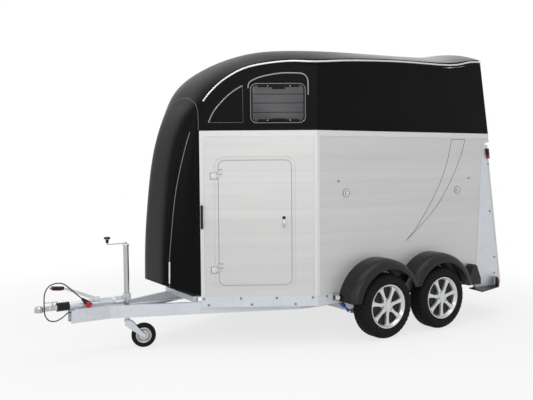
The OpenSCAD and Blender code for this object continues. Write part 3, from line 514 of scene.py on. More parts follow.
rim_rings = [
    moved(turned(RIM_BEAD, (0, 0, 0), (0, 1, 0), 40), WHEEL_TURN),
    moved(
        turned(
            [(0.0585, 0.021), (0.067, 0.021), (0.0685, 0.0235), (0.0660, 0.0245), (0.0585, 0.0228)],
            (0, 0, 0), (0, 1, 0), 40
        ),
        WHEEL_TURN
    ),
    moved(
        turned(
            [(0.0585, -0.0228), (0.0660, -0.0245), (0.0685, -0.0235), (0.067, -0.021), (0.0585, -0.021)],
            (0, 0, 0), (0, 1, 0), 40
        ),
        WHEEL_TURN
    ),
]
assembled("jockey_rim_rings", rim_rings, bright_steel, "galvanised", "jockey_wheel")
pull_rod = [
    rod((2.225 + AXLE_X, 0.0, 0.392), (0.205 + AXLE_X, 0.0, 0.360), 0.006),
    block((0.150 + AXLE_X, -0.16, 0.352), (0.166 + AXLE_X, 0.16, 0.368), 0.003),
    rod((0.205 + AXLE_X, 0.0, 0.360), (0.150 + AXLE_X, 0.0, 0.360), 0.009),
]
pull_rod += [
    rod((0.150 + AXLE_X, 0.14 * s, 0.360), (0.060 + AXLE_X, 0.62 * s, 0.322), 0.0045) for s in (1, -1)
]
pull_rod += [
    block((x - 0.006 + AXLE_X, -0.012, 0.372), (x + 0.006 + AXLE_X, 0.012, 0.4023), 0.002)
    for x in (1.59, 1.0, 0.48)
]
assembled("brake_rod", pull_rod, zinc, "galvanised")

# Telescopic dampers: steel tubes in blue paint, one behind each trailing arm.
damper_paint = paint("damper_blue", (0.02, 0.10, 0.42), 0.35)
grime = texture(damper_paint, "Noise", 24.0)
feed(damper_paint, Base_Color=blend_colours(grime, (0.015, 0.07, 0.33), (0.03, 0.14, 0.52)))
coat(damper_paint, "dampers")

# Floor: waterproof plywood under a rolled rubber skin, screwed to the cross members.
ply = paint("floor_board", (0.05, 0.045, 0.04), 0.75)
fleck = texture(ply, "Noise", 60.0, 3.0)
feed(
    ply, Base_Color=blend_colours(fleck, (0.03, 0.028, 0.026), (0.09, 0.08, 0.07)),
    Normal=bump(fleck, 0.3, 0.002)
)
coat(ply, "floor")

# Side walls, doors and ramp: tongue-and-groove planks of anodised aluminium, each about 112 mm high.
# Each plank's upper edge has a fine dark groove, and the metal is brushed along its length.
PLANK = 0.1115


def planks(name, pale, dark, first=0.45):
    """Brushed anodised planks stacked from height first, with a groove at each joint."""
    material = paint(name, pale, 0.42, 0.35)
    start = Value(material.node_tree)
    spot = start.node("ShaderNodeTexCoord", out=3)
    height = start.node("ShaderNodeSeparateXYZ", links={0: spot}, out=2)
    share = start.math("FRACT", (height - first) / PLANK)
    groove = (share < 0.035) + (share > 0.985)
    tone = texture(material, "Noise", 1.2, 3.0, (0.3, 0.3, 6.0))
    brushed = texture(material, "Noise", 30.0, 3.0, (0.05, 0.05, 14.0))
    colour = blend_colours(
        tone * 0.6 + brushed * 0.4, tuple(0.80 * c for c in pale), tuple(1.12 * c for c in pale)
    )
    feed(
        material,
        Base_Color=blend_colours(groove * 0.16, colour, dark),
        Roughness=0.36 + 0.14 * brushed,
        Normal=bump(1 - groove, 0.12, 0.002),
    )
    return material


boards = planks("anodised_planks", (0.66, 0.66, 0.655), (0.34, 0.34, 0.34))
coat(
    boards, "wall_left", "wall_right", "front_wall_left", "front_wall_right", "door_left", "door_right",
    "ramp"
)

# Corner and rail profiles: extruded aluminium, anodised a little brighter than the planks.
profile = paint("anodised_profile", (0.76, 0.765, 0.77), 0.5, 0.1, Specular_IOR_Level=0.3)
drawn = texture(profile, "Noise", 40.0, 2.0, (0.1, 0.1, 3.0))
feed(profile, Roughness=0.24 + 0.16 * drawn)
coat(profile, "profiles_left", "profiles_right", "side_fittings")


# Rivets hold the corner profile and the top rail to the planks, and clips hold the front edge profile.
# They are domed aluminium blind rivets, about 260 mm apart.
def bead(points, radius, closed=False):
    """A round bead of rubber or metal along a line of points."""
    curve = bpy.data.curves.new("bead", "CURVE")
    curve.dimensions = "3D"
    curve.bevel_depth, curve.bevel_resolution, curve.use_fill_caps = radius, 2, True
    line = curve.splines.new("POLY")
    line.points.add(len(points) - 1)
    line.use_cyclic_u = closed
    for spot, place in zip(line.points, points):
        spot.co = (*place, 1)
    piece = bpy.data.objects.new("bead", curve)
    bpy.context.collection.objects.link(piece)
    only(piece)
    bpy.ops.object.convert(target="MESH")
    return bpy.context.object


RIVET = [(0, 0), (0.0042, 0), (0.0042, 0.0006), (0.003, 0.0018), (0, 0.0024)]
RAIL_RIVETS = [0.16 + 0.26 * k for k in range(4)]
REAR_RAIL_RIVETS = [-0.1 - 0.26 * k for k in range(6)]
CORNER_RIVETS = [0.55 + 0.26 * k for k in range(6)]
for side, turn in SIDES.items():
    spots = [turn @ at(TAPERED_SIDE, x, 1.896, 0.003) for x in RAIL_RIVETS]
    spots += [turn @ at(STRAIGHT_SIDE, x, 1.896, 0.003) for x in REAR_RAIL_RIVETS]
    spots += [turn @ at(TAPERED_SIDE, 0.0125, z, 0.003) for z in CORNER_RIVETS]
    spots += [turn @ at(STRAIGHT_SIDE, TAPER_START - 0.0125, z, 0.003) for z in CORNER_RIVETS]
    spots += [turn @ at(TAPERED_SIDE, 1.020, z, 0.003) for z in CORNER_RIVETS]
    assembled(f"rivets_{side}", repeated(turned(RIVET, (0, 0, 0), (0, 0, 1), 16), spots), profile, "profile")

# Nose, roof and upper sides: one glass-fibre moulding and two bonded panels in glossy black gel coat.
gel = paint("black_gel_coat", (0.006, 0.0065, 0.007), 0.3, Specular_IOR_Level=0.06)
peel = texture(gel, "Noise", 110.0, 1.0)
slow = texture(gel, "Noise", 2.0, 2.0)
feed(
    gel,
    Base_Color=blend_colours(slow, (0.002, 0.0021, 0.0024), (0.005, 0.0053, 0.0056)),
    Roughness=0.27 + 0.1 * slow,
    Normal=bump(peel, 0.03, 0.001),
)
coat(gel, "hood", "upper_side_left", "upper_side_right")


def smoothed(node, name, angle, levels=1):
    """A welded, subdivided copy of a CAD node, which it replaces."""
    source = NODES[node]
    piece = bpy.data.objects.new(name, source.data.copy())
    bpy.context.collection.objects.link(piece)
    only(piece)
    bpy.ops.object.mode_set(mode="EDIT")
    bpy.ops.mesh.select_all(action="SELECT")
    bpy.ops.mesh.remove_doubles(threshold=0.00005)
    bpy.ops.mesh.tris_convert_to_quads(face_threshold=radians(30), shape_threshold=radians(60))
    bpy.ops.mesh.select_all(action="DESELECT")
    bpy.ops.mesh.select_mode(type="EDGE")
    bpy.ops.mesh.edges_select_sharp(sharpness=radians(50))
    bpy.ops.transform.edge_crease(value=1.0)
    bpy.ops.object.mode_set(mode="OBJECT")
    if levels:
        finer = piece.modifiers.new("finer", "SUBSURF")
        finer.levels = finer.render_levels = levels
        bpy.ops.object.modifier_apply(modifier=finer.name)
    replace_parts(assembled(name, [piece], source.data.materials[0], slots[node], angle=angle), node)
    return piece


slots = {row["node"]: row["material_slot"] for row in frame["record"]["subparts"]}
hood = smoothed("hood", "moulded_hood", 45)
# Hood fold: a bright metal bead on the outer fold of the moulding's lip, above the bonded side panels, glossier than
# the rest: a painted highlight, the shine along the rounded fold.
# It lies on the outer fold of the hood's lip, listed as (place ahead of the front axle, height).
LIP = 0.014
HOOD_EDGE = [
    (1.595, 1.921), (1.591, 2.040), (1.552, 2.157), (1.472, 2.278), (1.354, 2.394), (1.175, 2.492), (0.900, 2.538),
    (0.661, 2.534), (0.250, 2.573), (-0.323, 2.603), (-1.000, 2.615), (-1.290, 2.664), (-1.452, 2.676),
]
# Grey metal for the beads on the moulded lines of the black gel coat: a painted highlight, the shine of their rounded
# edges.
highlight_gloss = paint("painted_highlight_edge", (0.20, 0.205, 0.21), 0.16, 0.9)
sheen = texture(highlight_gloss, "Noise", 30.0)
feed(highlight_gloss, Roughness=0.12 + 0.1 * sheen)
# Bright metal for the bead on the hood's fold: a painted highlight.
bright = paint("painted_highlight_trim", (0.62, 0.625, 0.63), 0.22, 0.8)
drawing_marks = texture(bright, "Noise", 40.0)
feed(bright, Roughness=0.18 + 0.1 * drawing_marks)
edge_line = smooth_line(
    [(x + AXLE_X, HALF_WIDTH - max(0.0, x - TAPER_START) * math.tan(TAPER), z) for x, z in HOOD_EDGE], 4
)
FOLD_HIGHLIGHT_LOW = 2.16
fold_highlight_line = []
for before, here, ahead in zip(edge_line[:1] + edge_line, edge_line, edge_line[1:] + edge_line[-1:]):
    out = Vector((sin(TAPER), cos(TAPER), 0)) if here.x > TAPER_START + AXLE_X else Vector((0, 1, 0))
    fold_highlight_line.append(here + (before - ahead).normalized().cross(out).normalized() * -LIP - out * 0.003)
for side, turn in SIDES.items():
    assembled(
        f"hood_fold_highlight_{side}", [moved(bead([spot for spot in fold_highlight_line if spot.z > FOLD_HIGHLIGHT_LOW], 0.0088), turn)],
        bright, "profile", angle=60
    )
# Nose creases: a bead in the mould line between the nose's front and each flank, in grey metal: a painted highlight
# along the rounded crease.
# A pale strip over its lower end is a painted highlight too, a bright reflection on the crease.
NOSE_CREASE = [
    (1.828, 0.268, 0.545), (1.824, 0.268, 0.775), (1.809, 0.274, 0.969), (1.787, 0.278, 1.187), (1.756, 0.282, 1.405),
    (1.709, 0.291, 1.623), (1.663, 0.301, 1.798), (1.628, 0.311, 1.911),
]
HIGHLIGHT_STRIP_ENDS = (0.585, 0.775)
crease = []
for x, y, z in smooth_line(NOSE_CREASE, 3):
    found, spot, way, face = hood.closest_point_on_mesh(Vector((x + AXLE_X, y, z)))
    crease.append(spot)
# Visor seam: a thin bead on the moulded line across the top of the nose, in grey metal whose shine is a painted
# highlight.
VISOR_SEAM = [
    (1.566, 0.347, 1.930), (1.565, 0.347, 2.033), (1.569, 0.318, 2.148), (1.548, 0.117, 2.225),
    (1.540, 0, 2.235)
]
visor = []
for x, y, z in smooth_line(VISOR_SEAM, 4):
    found, spot, way, face = hood.closest_point_on_mesh(Vector((x + AXLE_X, y, z)))
    visor.append(spot)
assembled(
    "visor_seam", [bead(visor, 0.0018), moved(bead(visor, 0.0018), MIRROR)], highlight_gloss, "black_shell", angle=60
)
# A pale strip with a faceted bump: a painted highlight on the lower end of the crease.
highlight_strip_paint = paint("painted_highlight_strip", (0.85, 0.85, 0.84), 0.15)
strip_cells = texture(highlight_strip_paint, "Voronoi", 160.0)
feed(highlight_strip_paint, Normal=bump(strip_cells, 0.3, 0.001))
for side, turn in SIDES.items():
    assembled(f"nose_crease_highlight_{side}", [moved(bead(crease, 0.0032), turn)], highlight_gloss, "black_shell", angle=60)
    foot = [point for point in crease if HIGHLIGHT_STRIP_ENDS[0] < point.z < HIGHLIGHT_STRIP_ENDS[1]]
    strip = block((0, -0.006, 0), (0.008, 0.006, HIGHLIGHT_STRIP_ENDS[1] - HIGHLIGHT_STRIP_ENDS[0]), 0.002)
    lean_back = Matrix.Rotation(math.atan2(foot[-1].x - foot[0].x, foot[-1].z - foot[0].z), 4, "Y")
    spun = Matrix.Translation(
        (foot[0].x - 0.002, foot[0].y, HIGHLIGHT_STRIP_ENDS[0])
    ) @ lean_back @ Matrix.Rotation(radians(45), 4, "Z")
    assembled(f"nose_highlight_strip_{side}", [moved(moved(strip, spun), turn)], highlight_strip_paint, "lamp_clear")

# Mudguards, corner plates, chocks and grab handles: black polythene with a fine moulded grain.
moulded = paint("grained_plastic", (0.010, 0.0103, 0.011), 0.34, Specular_IOR_Level=0.3)
grain = texture(moulded, "Noise", 420.0, 2.0)
wear = texture(moulded, "Noise", 9.0, 3.0)
feed(
    moulded,
    Base_Color=blend_colours(wear, (0.0035, 0.0036, 0.0040), (0.008, 0.0082, 0.009)),
    Roughness=0.27 + 0.12 * wear,
    Normal=bump(grain, 0.18, 0.0006),
)
coat(moulded, "mudguard_left", "mudguard_right", "corner_plates", "chocks", "grab_handles", "nose_tray")
for side, turn in SIDES.items():
    smoothed(f"mudguard_{side}", f"moulded_mudguard_{side}", 40, 0)
    lips = []
    for back, low, high in ((0.0, 11.5, 154.0), (0.708, 26.0, 165.0)):
        angles = [radians(low + (high - low) * k / 40) for k in range(41)]
        lips.append(bead([
            Vector(
                (AXLE_X - back + 0.353 * cos(angle), HALF_WIDTH + 0.2262, 0.3025 + 0.353 * sin(angle))
            ) for angle in angles
        ], 0.0045))
    assembled(f"mudguard_lip_{side}", [moved(lip, turn) for lip in lips], moulded, "black_plastic", angle=60)

# Windows: moulded dark frames with smoked louvres.
smoked = paint("window_plastic", (0.003, 0.0031, 0.0033), 0.32, Specular_IOR_Level=0.12)
haze = texture(smoked, "Noise", 30.0)
feed(smoked, Roughness=0.26 + 0.16 * haze)
coat(smoked, "window_left", "window_right")
# Each window: a grey slatted pane with its dark joints, an edge bead in grey metal whose shine is a painted
# highlight, latch bars above and below, and screws.
# A raised line moulded in the side panel runs round the window and the corner behind it, in grey metal whose shine is
# a painted highlight.
PANE_JOINTS = (2.078, 2.159, 2.237)
PANE_LOW, PANE_HIGH, PANE_ROUND = (0.121, 2.003), (0.569, 2.313), 0.034


def round_outline(low, high, r, grow=0.0):
    """Points round a rectangle with round corners, set off outwards by grow."""
    (x0, z0), (x1, z1) = low, high
    corners = ((x1 - r, z0 + r, -90), (x1 - r, z1 - r, 0), (x0 + r, z1 - r, 90), (x0 + r, z0 + r, 180))
    return [
        (x + (r + grow) * cos(radians(start + step * 15)), z + (r + grow) * sin(radians(start + step * 15)))
        for x, z, start in corners for step in range(7)
    ]


def sheet_cut(outline, depth, soft=0.001):
    """A flat sheet cut to an outline, as thick as depth."""
    bpy.ops.object.select_all(action="DESELECT")
    bpy.ops.mesh.primitive_circle_add(vertices=len(outline), fill_type="NGON")
    piece = bpy.context.object
    for vertex, (x, y) in zip(piece.data.vertices, outline):
        vertex.co = (x, y, 0)
    bpy.ops.object.mode_set(mode="EDIT")
    bpy.ops.mesh.select_all(action="SELECT")
    bpy.ops.mesh.extrude_region_move(TRANSFORM_OT_translate={"value": (0, 0, depth)})
    bpy.ops.mesh.select_all(action="SELECT")
    bpy.ops.mesh.normals_make_consistent(inside=False)
    bpy.ops.object.mode_set(mode="OBJECT")
    return rounded(piece, soft)


slat_grey = paint("grey_slats", (0.045, 0.046, 0.050), 0.3)
slat_haze = texture(slat_grey, "Noise", 8.0)
feed(
    slat_grey, Base_Color=blend_colours(slat_haze, (0.028, 0.029, 0.032), (0.048, 0.050, 0.054)),
    Roughness=0.22 + 0.15 * slat_haze
)
WINDOW_SCREWS = ((0.435, 2.307), (0.238, 2.307), (0.438, 2.009), (0.239, 2.009))
QUARTER_LINE = [(0.956, 1.992), (0.907, 2.093), (0.808, 2.206), (0.720, 2.275), (0.655, 2.312)]
QUARTER_BASE = [(0.655, 2.312), (0.652, 1.992), (0.956, 1.992)]
BROW_LINE = [
    (0.606, 2.290), (0.598, 2.335), (0.560, 2.362), (0.483, 2.391), (0.324, 2.419), (0.160, 2.419), (0.110, 2.405),
    (0.084, 2.370), (0.079, 2.320), (0.079, 2.230),
]
for side, turn in SIDES.items():
    window_plane = turn @ TAPERED_SIDE
    pane = moved(
        sheet_cut(round_outline(PANE_LOW, PANE_HIGH, PANE_ROUND), 0.004),
        window_plane @ Matrix.Translation((0, 0, 0.0092))
    )
    assembled(f"window_pane_{side}", [pane], slat_grey, "window_frame")
    bars = [
        moved(block((0.122, z - 0.0028, 0.0125), (0.568, z + 0.0028, 0.0138), 0.0004), window_plane)
        for z in PANE_JOINTS
    ]
    for low, high, tab in ((2.298, 2.316, 2.290), (2.000, 2.018, 2.012)):
        bars.append(moved(block((0.161, low, 0.0125), (0.523, high, 0.0175), 0.002), window_plane))
        bars.append(
            moved(block((0.285, tab - 0.008, 0.0125), (0.395, tab + 0.012, 0.0210), 0.004), window_plane)
        )
    assembled(f"window_bars_{side}", bars, smoked, "window_frame")
    ring = bead(
        [
            window_plane @ Vector((x, z, 0.0110))
            for x, z in round_outline(PANE_LOW, PANE_HIGH, PANE_ROUND, 0.0160)
        ],
        0.0032, True
    )
    assembled(f"window_ring_{side}", [ring], highlight_gloss, "window_frame", angle=60)
    screws = repeated(
        turned(RIVET, (0, 0, 0), (0, 0, 1), 16),
        [window_plane @ Matrix.Translation((x, z, 0.0172)) for x, z in WINDOW_SCREWS]
    )
    assembled(f"window_screws_{side}", screws, zinc, "galvanised")
    lines = [
        bead(
            [window_plane @ Vector((x, z, 0.001)) for x, z, _ in smooth_line([(x, z, 0) for x, z in row], 3)],
            thick
        )
        for row, thick in ((QUARTER_LINE, 0.0075), (BROW_LINE, 0.0080))
    ]
    lines.append(bead([window_plane @ Vector((x, z, 0.0005)) for x, z in QUARTER_BASE], 0.0014))
    assembled(f"recess_line_{side}", lines, highlight_gloss, "black_shell", angle=60)

# Door furniture: rubber seals, hinge bolts, and a lock with a black paddle in a zinc case.
# The seal sits on the wall round the opening; hinge bolts on the wall stay, those on the door swing with it.
DOOR_LOW, DOOR_HIGH, DOOR_ROUND = (0.226, 0.546), (0.881, 1.664), 0.060
HINGE_HEIGHTS = (0.672, 1.506)
seal_rubber = paint("grey_seal_rubber", (0.42, 0.42, 0.42), 0.6)
seal_grain = texture(seal_rubber, "Noise", 60.0)
feed(seal_rubber, Base_Color=blend_colours(seal_grain, (0.36, 0.36, 0.36), (0.48, 0.48, 0.48)))
for side, turn in SIDES.items():
    wall_plane = turn @ TAPERED_SIDE
    ring = bead(
        [
            wall_plane @ Vector((x, z, 0.001))
            for x, z in round_outline(DOOR_LOW, DOOR_HIGH, DOOR_ROUND, -0.0028)
        ],
        0.0031, closed=True
    )
    assembled(f"door_seal_{side}", [ring], seal_rubber, "black_rubber", angle=60)
    trim = bead(
        [
            wall_plane @ Vector((x, z, 0.0005))
            for x, z in round_outline(DOOR_LOW, DOOR_HIGH, DOOR_ROUND, 0.030)
        ],
        0.0022, closed=True
    )
    assembled(f"door_trim_{side}", [trim], boards, "boards", angle=60)
    wall_spots = [wall_plane @ Matrix.Translation((0.899, z + 0.017, 0.005)) for z in HINGE_HEIGHTS]
    assembled(f"hinge_bolts_{side}", repeated(bolt(0.006, 0.005), wall_spots), zinc, "galvanised")
    hinge_pads = [
        moved(block((0.893, z - 0.008, 0.0004), (0.945, z + 0.042, 0.004)), wall_plane) for z in HINGE_HEIGHTS
    ]
    assembled(f"hinge_pads_{side}", hinge_pads, profile, "profile")
    # Dark plates a little larger than each hinge plate, on the wall and on the door: painted shade, a dark outline
    # round the hinge.
    wall_hinge_shade = [
        moved(
            block((0.889, z - 0.012, 0.0002), (0.949, z + 0.046, 0.0016), 0.0005), wall_plane
        ) for z in HINGE_HEIGHTS
    ]
    assembled(f"wall_hinge_shade_{side}", wall_hinge_shade, moulded, "black_plastic")
    door_hinge_shade = [
        moved(
            block((0.841, z + 0.031, 0.0002), (0.8755, z + 0.073, 0.0016), 0.0005), wall_plane
        ) for z in HINGE_HEIGHTS
    ]
    assembled(f"door_hinge_shade_{side}", door_hinge_shade, moulded, "black_plastic", f"door_{side}")
    door_spots = [wall_plane @ Matrix.Translation((0.856, z + 0.052, 0.005)) for z in HINGE_HEIGHTS]
    assembled(
        f"door_bolts_{side}", repeated(bolt(0.006, 0.005), door_spots), zinc, "galvanised", f"door_{side}"
    )
    lock = [moved(block((0.272, 1.050, 0.0004), (0.326, 1.170, 0.006), 0.002), wall_plane)]
    assembled(f"door_lock_{side}", lock, profile, "profile", f"door_{side}")
    lever = [moved(block((0.288, 1.062, 0.016), (0.310, 1.128, 0.027), 0.004), wall_plane)]
    assembled(f"door_lever_{side}", lever, bright_steel, "galvanised", f"door_{side}")
    key = [
        moved(rod((0.299, 1.150, 0.006), (0.299, 1.150, 0.0185), 0.0150), wall_plane),
        moved(block((0.296, 1.144, 0.0175), (0.302, 1.156, 0.0205), 0.0008), wall_plane),
    ]
    assembled(f"door_key_{side}", key, moulded, "black_plastic", f"door_{side}")

# Stripe: the thin dark outline of a crescent, cut from film and stuck on the planks of each side.
# Its two curves meet in a point above the mudguard.
CRESCENT_FRONT = [
    (-1.034, 1.857), (-0.983, 1.668), (-0.899, 1.467), (-0.733, 1.211), (-0.542, 0.982), (-0.404, 0.863)
]
CRESCENT_REAR = [
    (-1.231, 1.857), (-1.159, 1.667), (-1.015, 1.424), (-0.845, 1.207), (-0.623, 1.017), (-0.404, 0.863)
]
film = paint("dark_film", (0.05, 0.05, 0.052), 0.35)
film_haze = texture(film, "Noise", 20.0)
feed(film, Roughness=0.3 + 0.15 * film_haze)
for side, turn in SIDES.items():
    curves = [
        bead(
            [
                turn @ STRAIGHT_SIDE @ Vector((*point.to_2d(), 0.0002))
                for point in smooth_line([(x, z, 0) for x, z in row], 5)
            ],
            0.0021
        )
        for row in (CRESCENT_FRONT, CRESCENT_REAR)
    ]
    curves.append(
        bead(
            [turn @ STRAIGHT_SIDE @ Vector((*row[0], 0.0002)) for row in (CRESCENT_FRONT, CRESCENT_REAR)],
            0.0021
        )
    )
    assembled(f"stripe_{side}", curves, film, "black_plastic", angle=60)

# Side fittings: thin dark rings at the centre and rim of the two pressed discs of each side, and dark caps over the
# studs.
DISCS, CAPS = ((0.337, 1.355), (-1.118, 1.342)), ((0.429, 1.466), (-1.281, 1.460))
for side, turn in SIDES.items():
    rings = []
    for x, z in DISCS:
        for r in (0.0135, 0.0362):
            rings.append(
                turned(
                    [(r - 0.001, 0.0055), (r + 0.0016, 0.0055), (r + 0.0016, 0.0078), (r - 0.001, 0.0078)],
                    (0, 0, 0), (0, 0, 1), 36
                )
            )
            moved(rings[-1], turn @ at(STRAIGHT_SIDE, x, z))
    rings += [
        moved(
            turned(
                [(0, 0.0102), (0.0085, 0.0102), (0.0085, 0.0125), (0.006, 0.0135), (0, 0.0135)], (0, 0, 0),
                (0, 0, 1), 20
            ),
            turn @ at(STRAIGHT_SIDE, x, z)
        )
        for x, z in CAPS
    ]
    assembled(f"fitting_rings_{side}", rings, film, "black_plastic")

# Partition: padded panel in grey leathercloth between two posts. Curtain: coated canvas on a roller.
cloth = paint("coated_canvas", (0.03, 0.031, 0.034), 0.7)
weave = texture(cloth, "Noise", 500.0, 1.0, (1, 1, 0.4))
feed(
    cloth, Base_Color=blend_colours(weave, (0.022, 0.023, 0.025), (0.045, 0.046, 0.05)),
    Normal=bump(weave, 0.3, 0.0006)
)
coat(cloth, "partition", "curtain")

# Partition: a foam pad in grey leathercloth, sewn in channels, hung between two steel posts.
PAD_FROM, PAD_TO = -1.350 + AXLE_X, 0.650 + AXLE_X
PAD_LOW, PAD_HIGH, PAD_HALF = 0.730, 1.830, 0.018
CHANNELS = 6
bpy.ops.object.select_all(action="DESELECT")
bpy.ops.mesh.primitive_cube_add(size=1, location=((PAD_FROM + PAD_TO) / 2, 0, (PAD_LOW + PAD_HIGH) / 2))
pad = bpy.context.object
pad.scale = (PAD_TO - PAD_FROM - 0.05, 2 * PAD_HALF, PAD_HIGH - PAD_LOW)
bpy.ops.object.transform_apply(location=True, rotation=True, scale=True)
bpy.ops.object.mode_set(mode="EDIT")
bpy.ops.mesh.select_all(action="SELECT")
bpy.ops.mesh.subdivide(number_cuts=47)
bpy.ops.object.mode_set(mode="OBJECT")
for vertex in pad.data.vertices:
    place = vertex.co
    up = (place.z - PAD_LOW) / (PAD_HIGH - PAD_LOW)
    along = (place.x - PAD_FROM) / (PAD_TO - PAD_FROM)
    edge = min(up, 1 - up, 8 * min(along, 1 - along)) * 8
    crown = min(1.0, max(0.0, edge)) ** 0.5
    channel = abs(sin(pi * CHANNELS * up)) ** 0.4
    vertex.co.y *= 0.25 + 0.75 * crown * (0.55 + 0.45 * channel)
assembled("partition_pad", [pad], cloth, "padding", angle=60)
posts = [
    rod((x + AXLE_X, 0, 0.481), (x + AXLE_X, 0, 1.979), 0.0195, soft=0.003) for x in (-1.345, 0.600)
]
assembled("partition_posts", posts, zinc, "galvanised")
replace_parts(pad, "partition")

# Curtain: a coated canvas sheet rolled up under the rear roof edge, held by two buckled straps.
# The roll winds outwards from a light core, about five turns.
ROLL_Z, ROLL_HALF, ROLL_CORE, ROLL_PITCH, ROLL_TURNS = 2.560, 0.835, 0.012, 0.0058, 5
ROLL_X = AXLE_X - 1.583 + 0.15838 * 0.639 + 0.063
roll_steps = 20 * ROLL_TURNS
spiral = []
for step in range(roll_steps + 1):
    turn_angle = 2 * pi * step / 20
    radius = ROLL_CORE + ROLL_PITCH * step / 20
    spiral.append((ROLL_X + radius * cos(turn_angle), ROLL_Z + radius * sin(turn_angle)))
bpy.ops.object.select_all(action="DESELECT")
bpy.ops.mesh.primitive_grid_add(x_subdivisions=roll_steps, y_subdivisions=4, size=2)
roll = bpy.context.object
for vertex in roll.data.vertices:
    x, z = spiral[round((vertex.co.x + 1) / 2 * roll_steps)]
    vertex.co = (x, vertex.co.y * ROLL_HALF, z)
thick = roll.modifiers.new("thickness", "SOLIDIFY")
thick.thickness, thick.offset = 0.0012, 0
only(roll)
bpy.ops.object.modifier_apply(modifier=thick.name)
assembled("rolled_curtain", [roll], cloth, "canvas", angle=60)
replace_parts(roll, "curtain")
CLOTH_LONG = sum(math.dist(a, b) for a, b in zip(spiral, spiral[1:]))
straps = [
    turned(
        [(0.0425, y - 0.015), (0.0445, y - 0.015), (0.0445, y + 0.015), (0.0425, y + 0.015)],
        (ROLL_X, 0, ROLL_Z), (0, 1, 0), 40
    )
    for y in (-0.5, 0.5)
]
assembled("curtain_straps", straps, cloth, "canvas")

# Rubber: the bellows over the draw tube, and the cable's sheath.
rubber = paint("black_rubber", (0.014, 0.014, 0.015), 0.6, Specular_IOR_Level=0.3)
bloom = texture(rubber, "Noise", 45.0, 3.0)
feed(
    rubber, Base_Color=blend_colours(bloom, (0.010, 0.010, 0.011), (0.030, 0.030, 0.031)),
    Roughness=0.5 + 0.2 * bloom
)
coat(rubber, "bellows", "plug_cable")
plug_lead.data.materials.append(rubber)
BELLOWS_FROM, BELLOWS_TO = 2.634 + AXLE_X, 2.739 + AXLE_X
clips = [
    turned([(0.034, 0), (0.0368, 0), (0.0368, 0.007), (0.034, 0.007)], (x, 0, 0.438), (1, 0, 0))
    for x in (BELLOWS_FROM + 0.001, BELLOWS_TO - 0.008)
]
assembled("bellows_clips", clips, moulded, "black_plastic")

# Plug: red moulded body with a black gland.
red = paint("red_plastic", (0.46, 0.012, 0.014), 0.34)
scuff = texture(red, "Noise", 60.0, 3.0)
feed(
    red, Base_Color=blend_colours(scuff, (0.40, 0.010, 0.012), (0.55, 0.02, 0.02)),
    Roughness=0.28 + 0.16 * scuff
)
coat(red, "plug")
PLUG_AT, PLUG_WAY = cable_line[-1], (cable_line[-1] - Vector((BALL_X - 0.316, 0.060, 0.526))).normalized()
GLAND = [
    (0.0055, -0.006), (0.0115, -0.006), (0.0125, 0.0), (0.0165, 0.022), (0.0205, 0.036), (0.0225, 0.042),
    (0.0055, 0.042)
]
CAP_RIBS = [(0.0242, 0.056), (0.0262, 0.058), (0.0262, 0.064), (0.0242, 0.066)]
assembled("plug_gland", [turned(GLAND, PLUG_AT, PLUG_WAY, 32)], moulded, "black_plastic")
rings = [turned([(r, d + k * 0.013) for r, d in CAP_RIBS], PLUG_AT, PLUG_WAY, 32) for k in range(3)]
assembled("plug_ribs", rings, red, "plug_red")

# Lamps: clear position lamps at the front and red markers on the rear posts.
lens = paint("clear_lens", (0.80, 0.80, 0.78), 0.12)
ribs = texture(lens, "Wave", 60.0)
feed(lens, Normal=bump(ribs, 0.3, 0.001))
coat(lens, "front_lamps")
ruby = paint("red_lens", (0.30, 0.008, 0.010), 0.12)
prisms = texture(ruby, "Wave", 90.0)
feed(
    ruby, Base_Color=blend_colours(prisms, (0.22, 0.004, 0.006), (0.42, 0.015, 0.018)),
    Normal=bump(prisms, 0.3, 0.001)
)
coat(ruby, "rear_lamps")

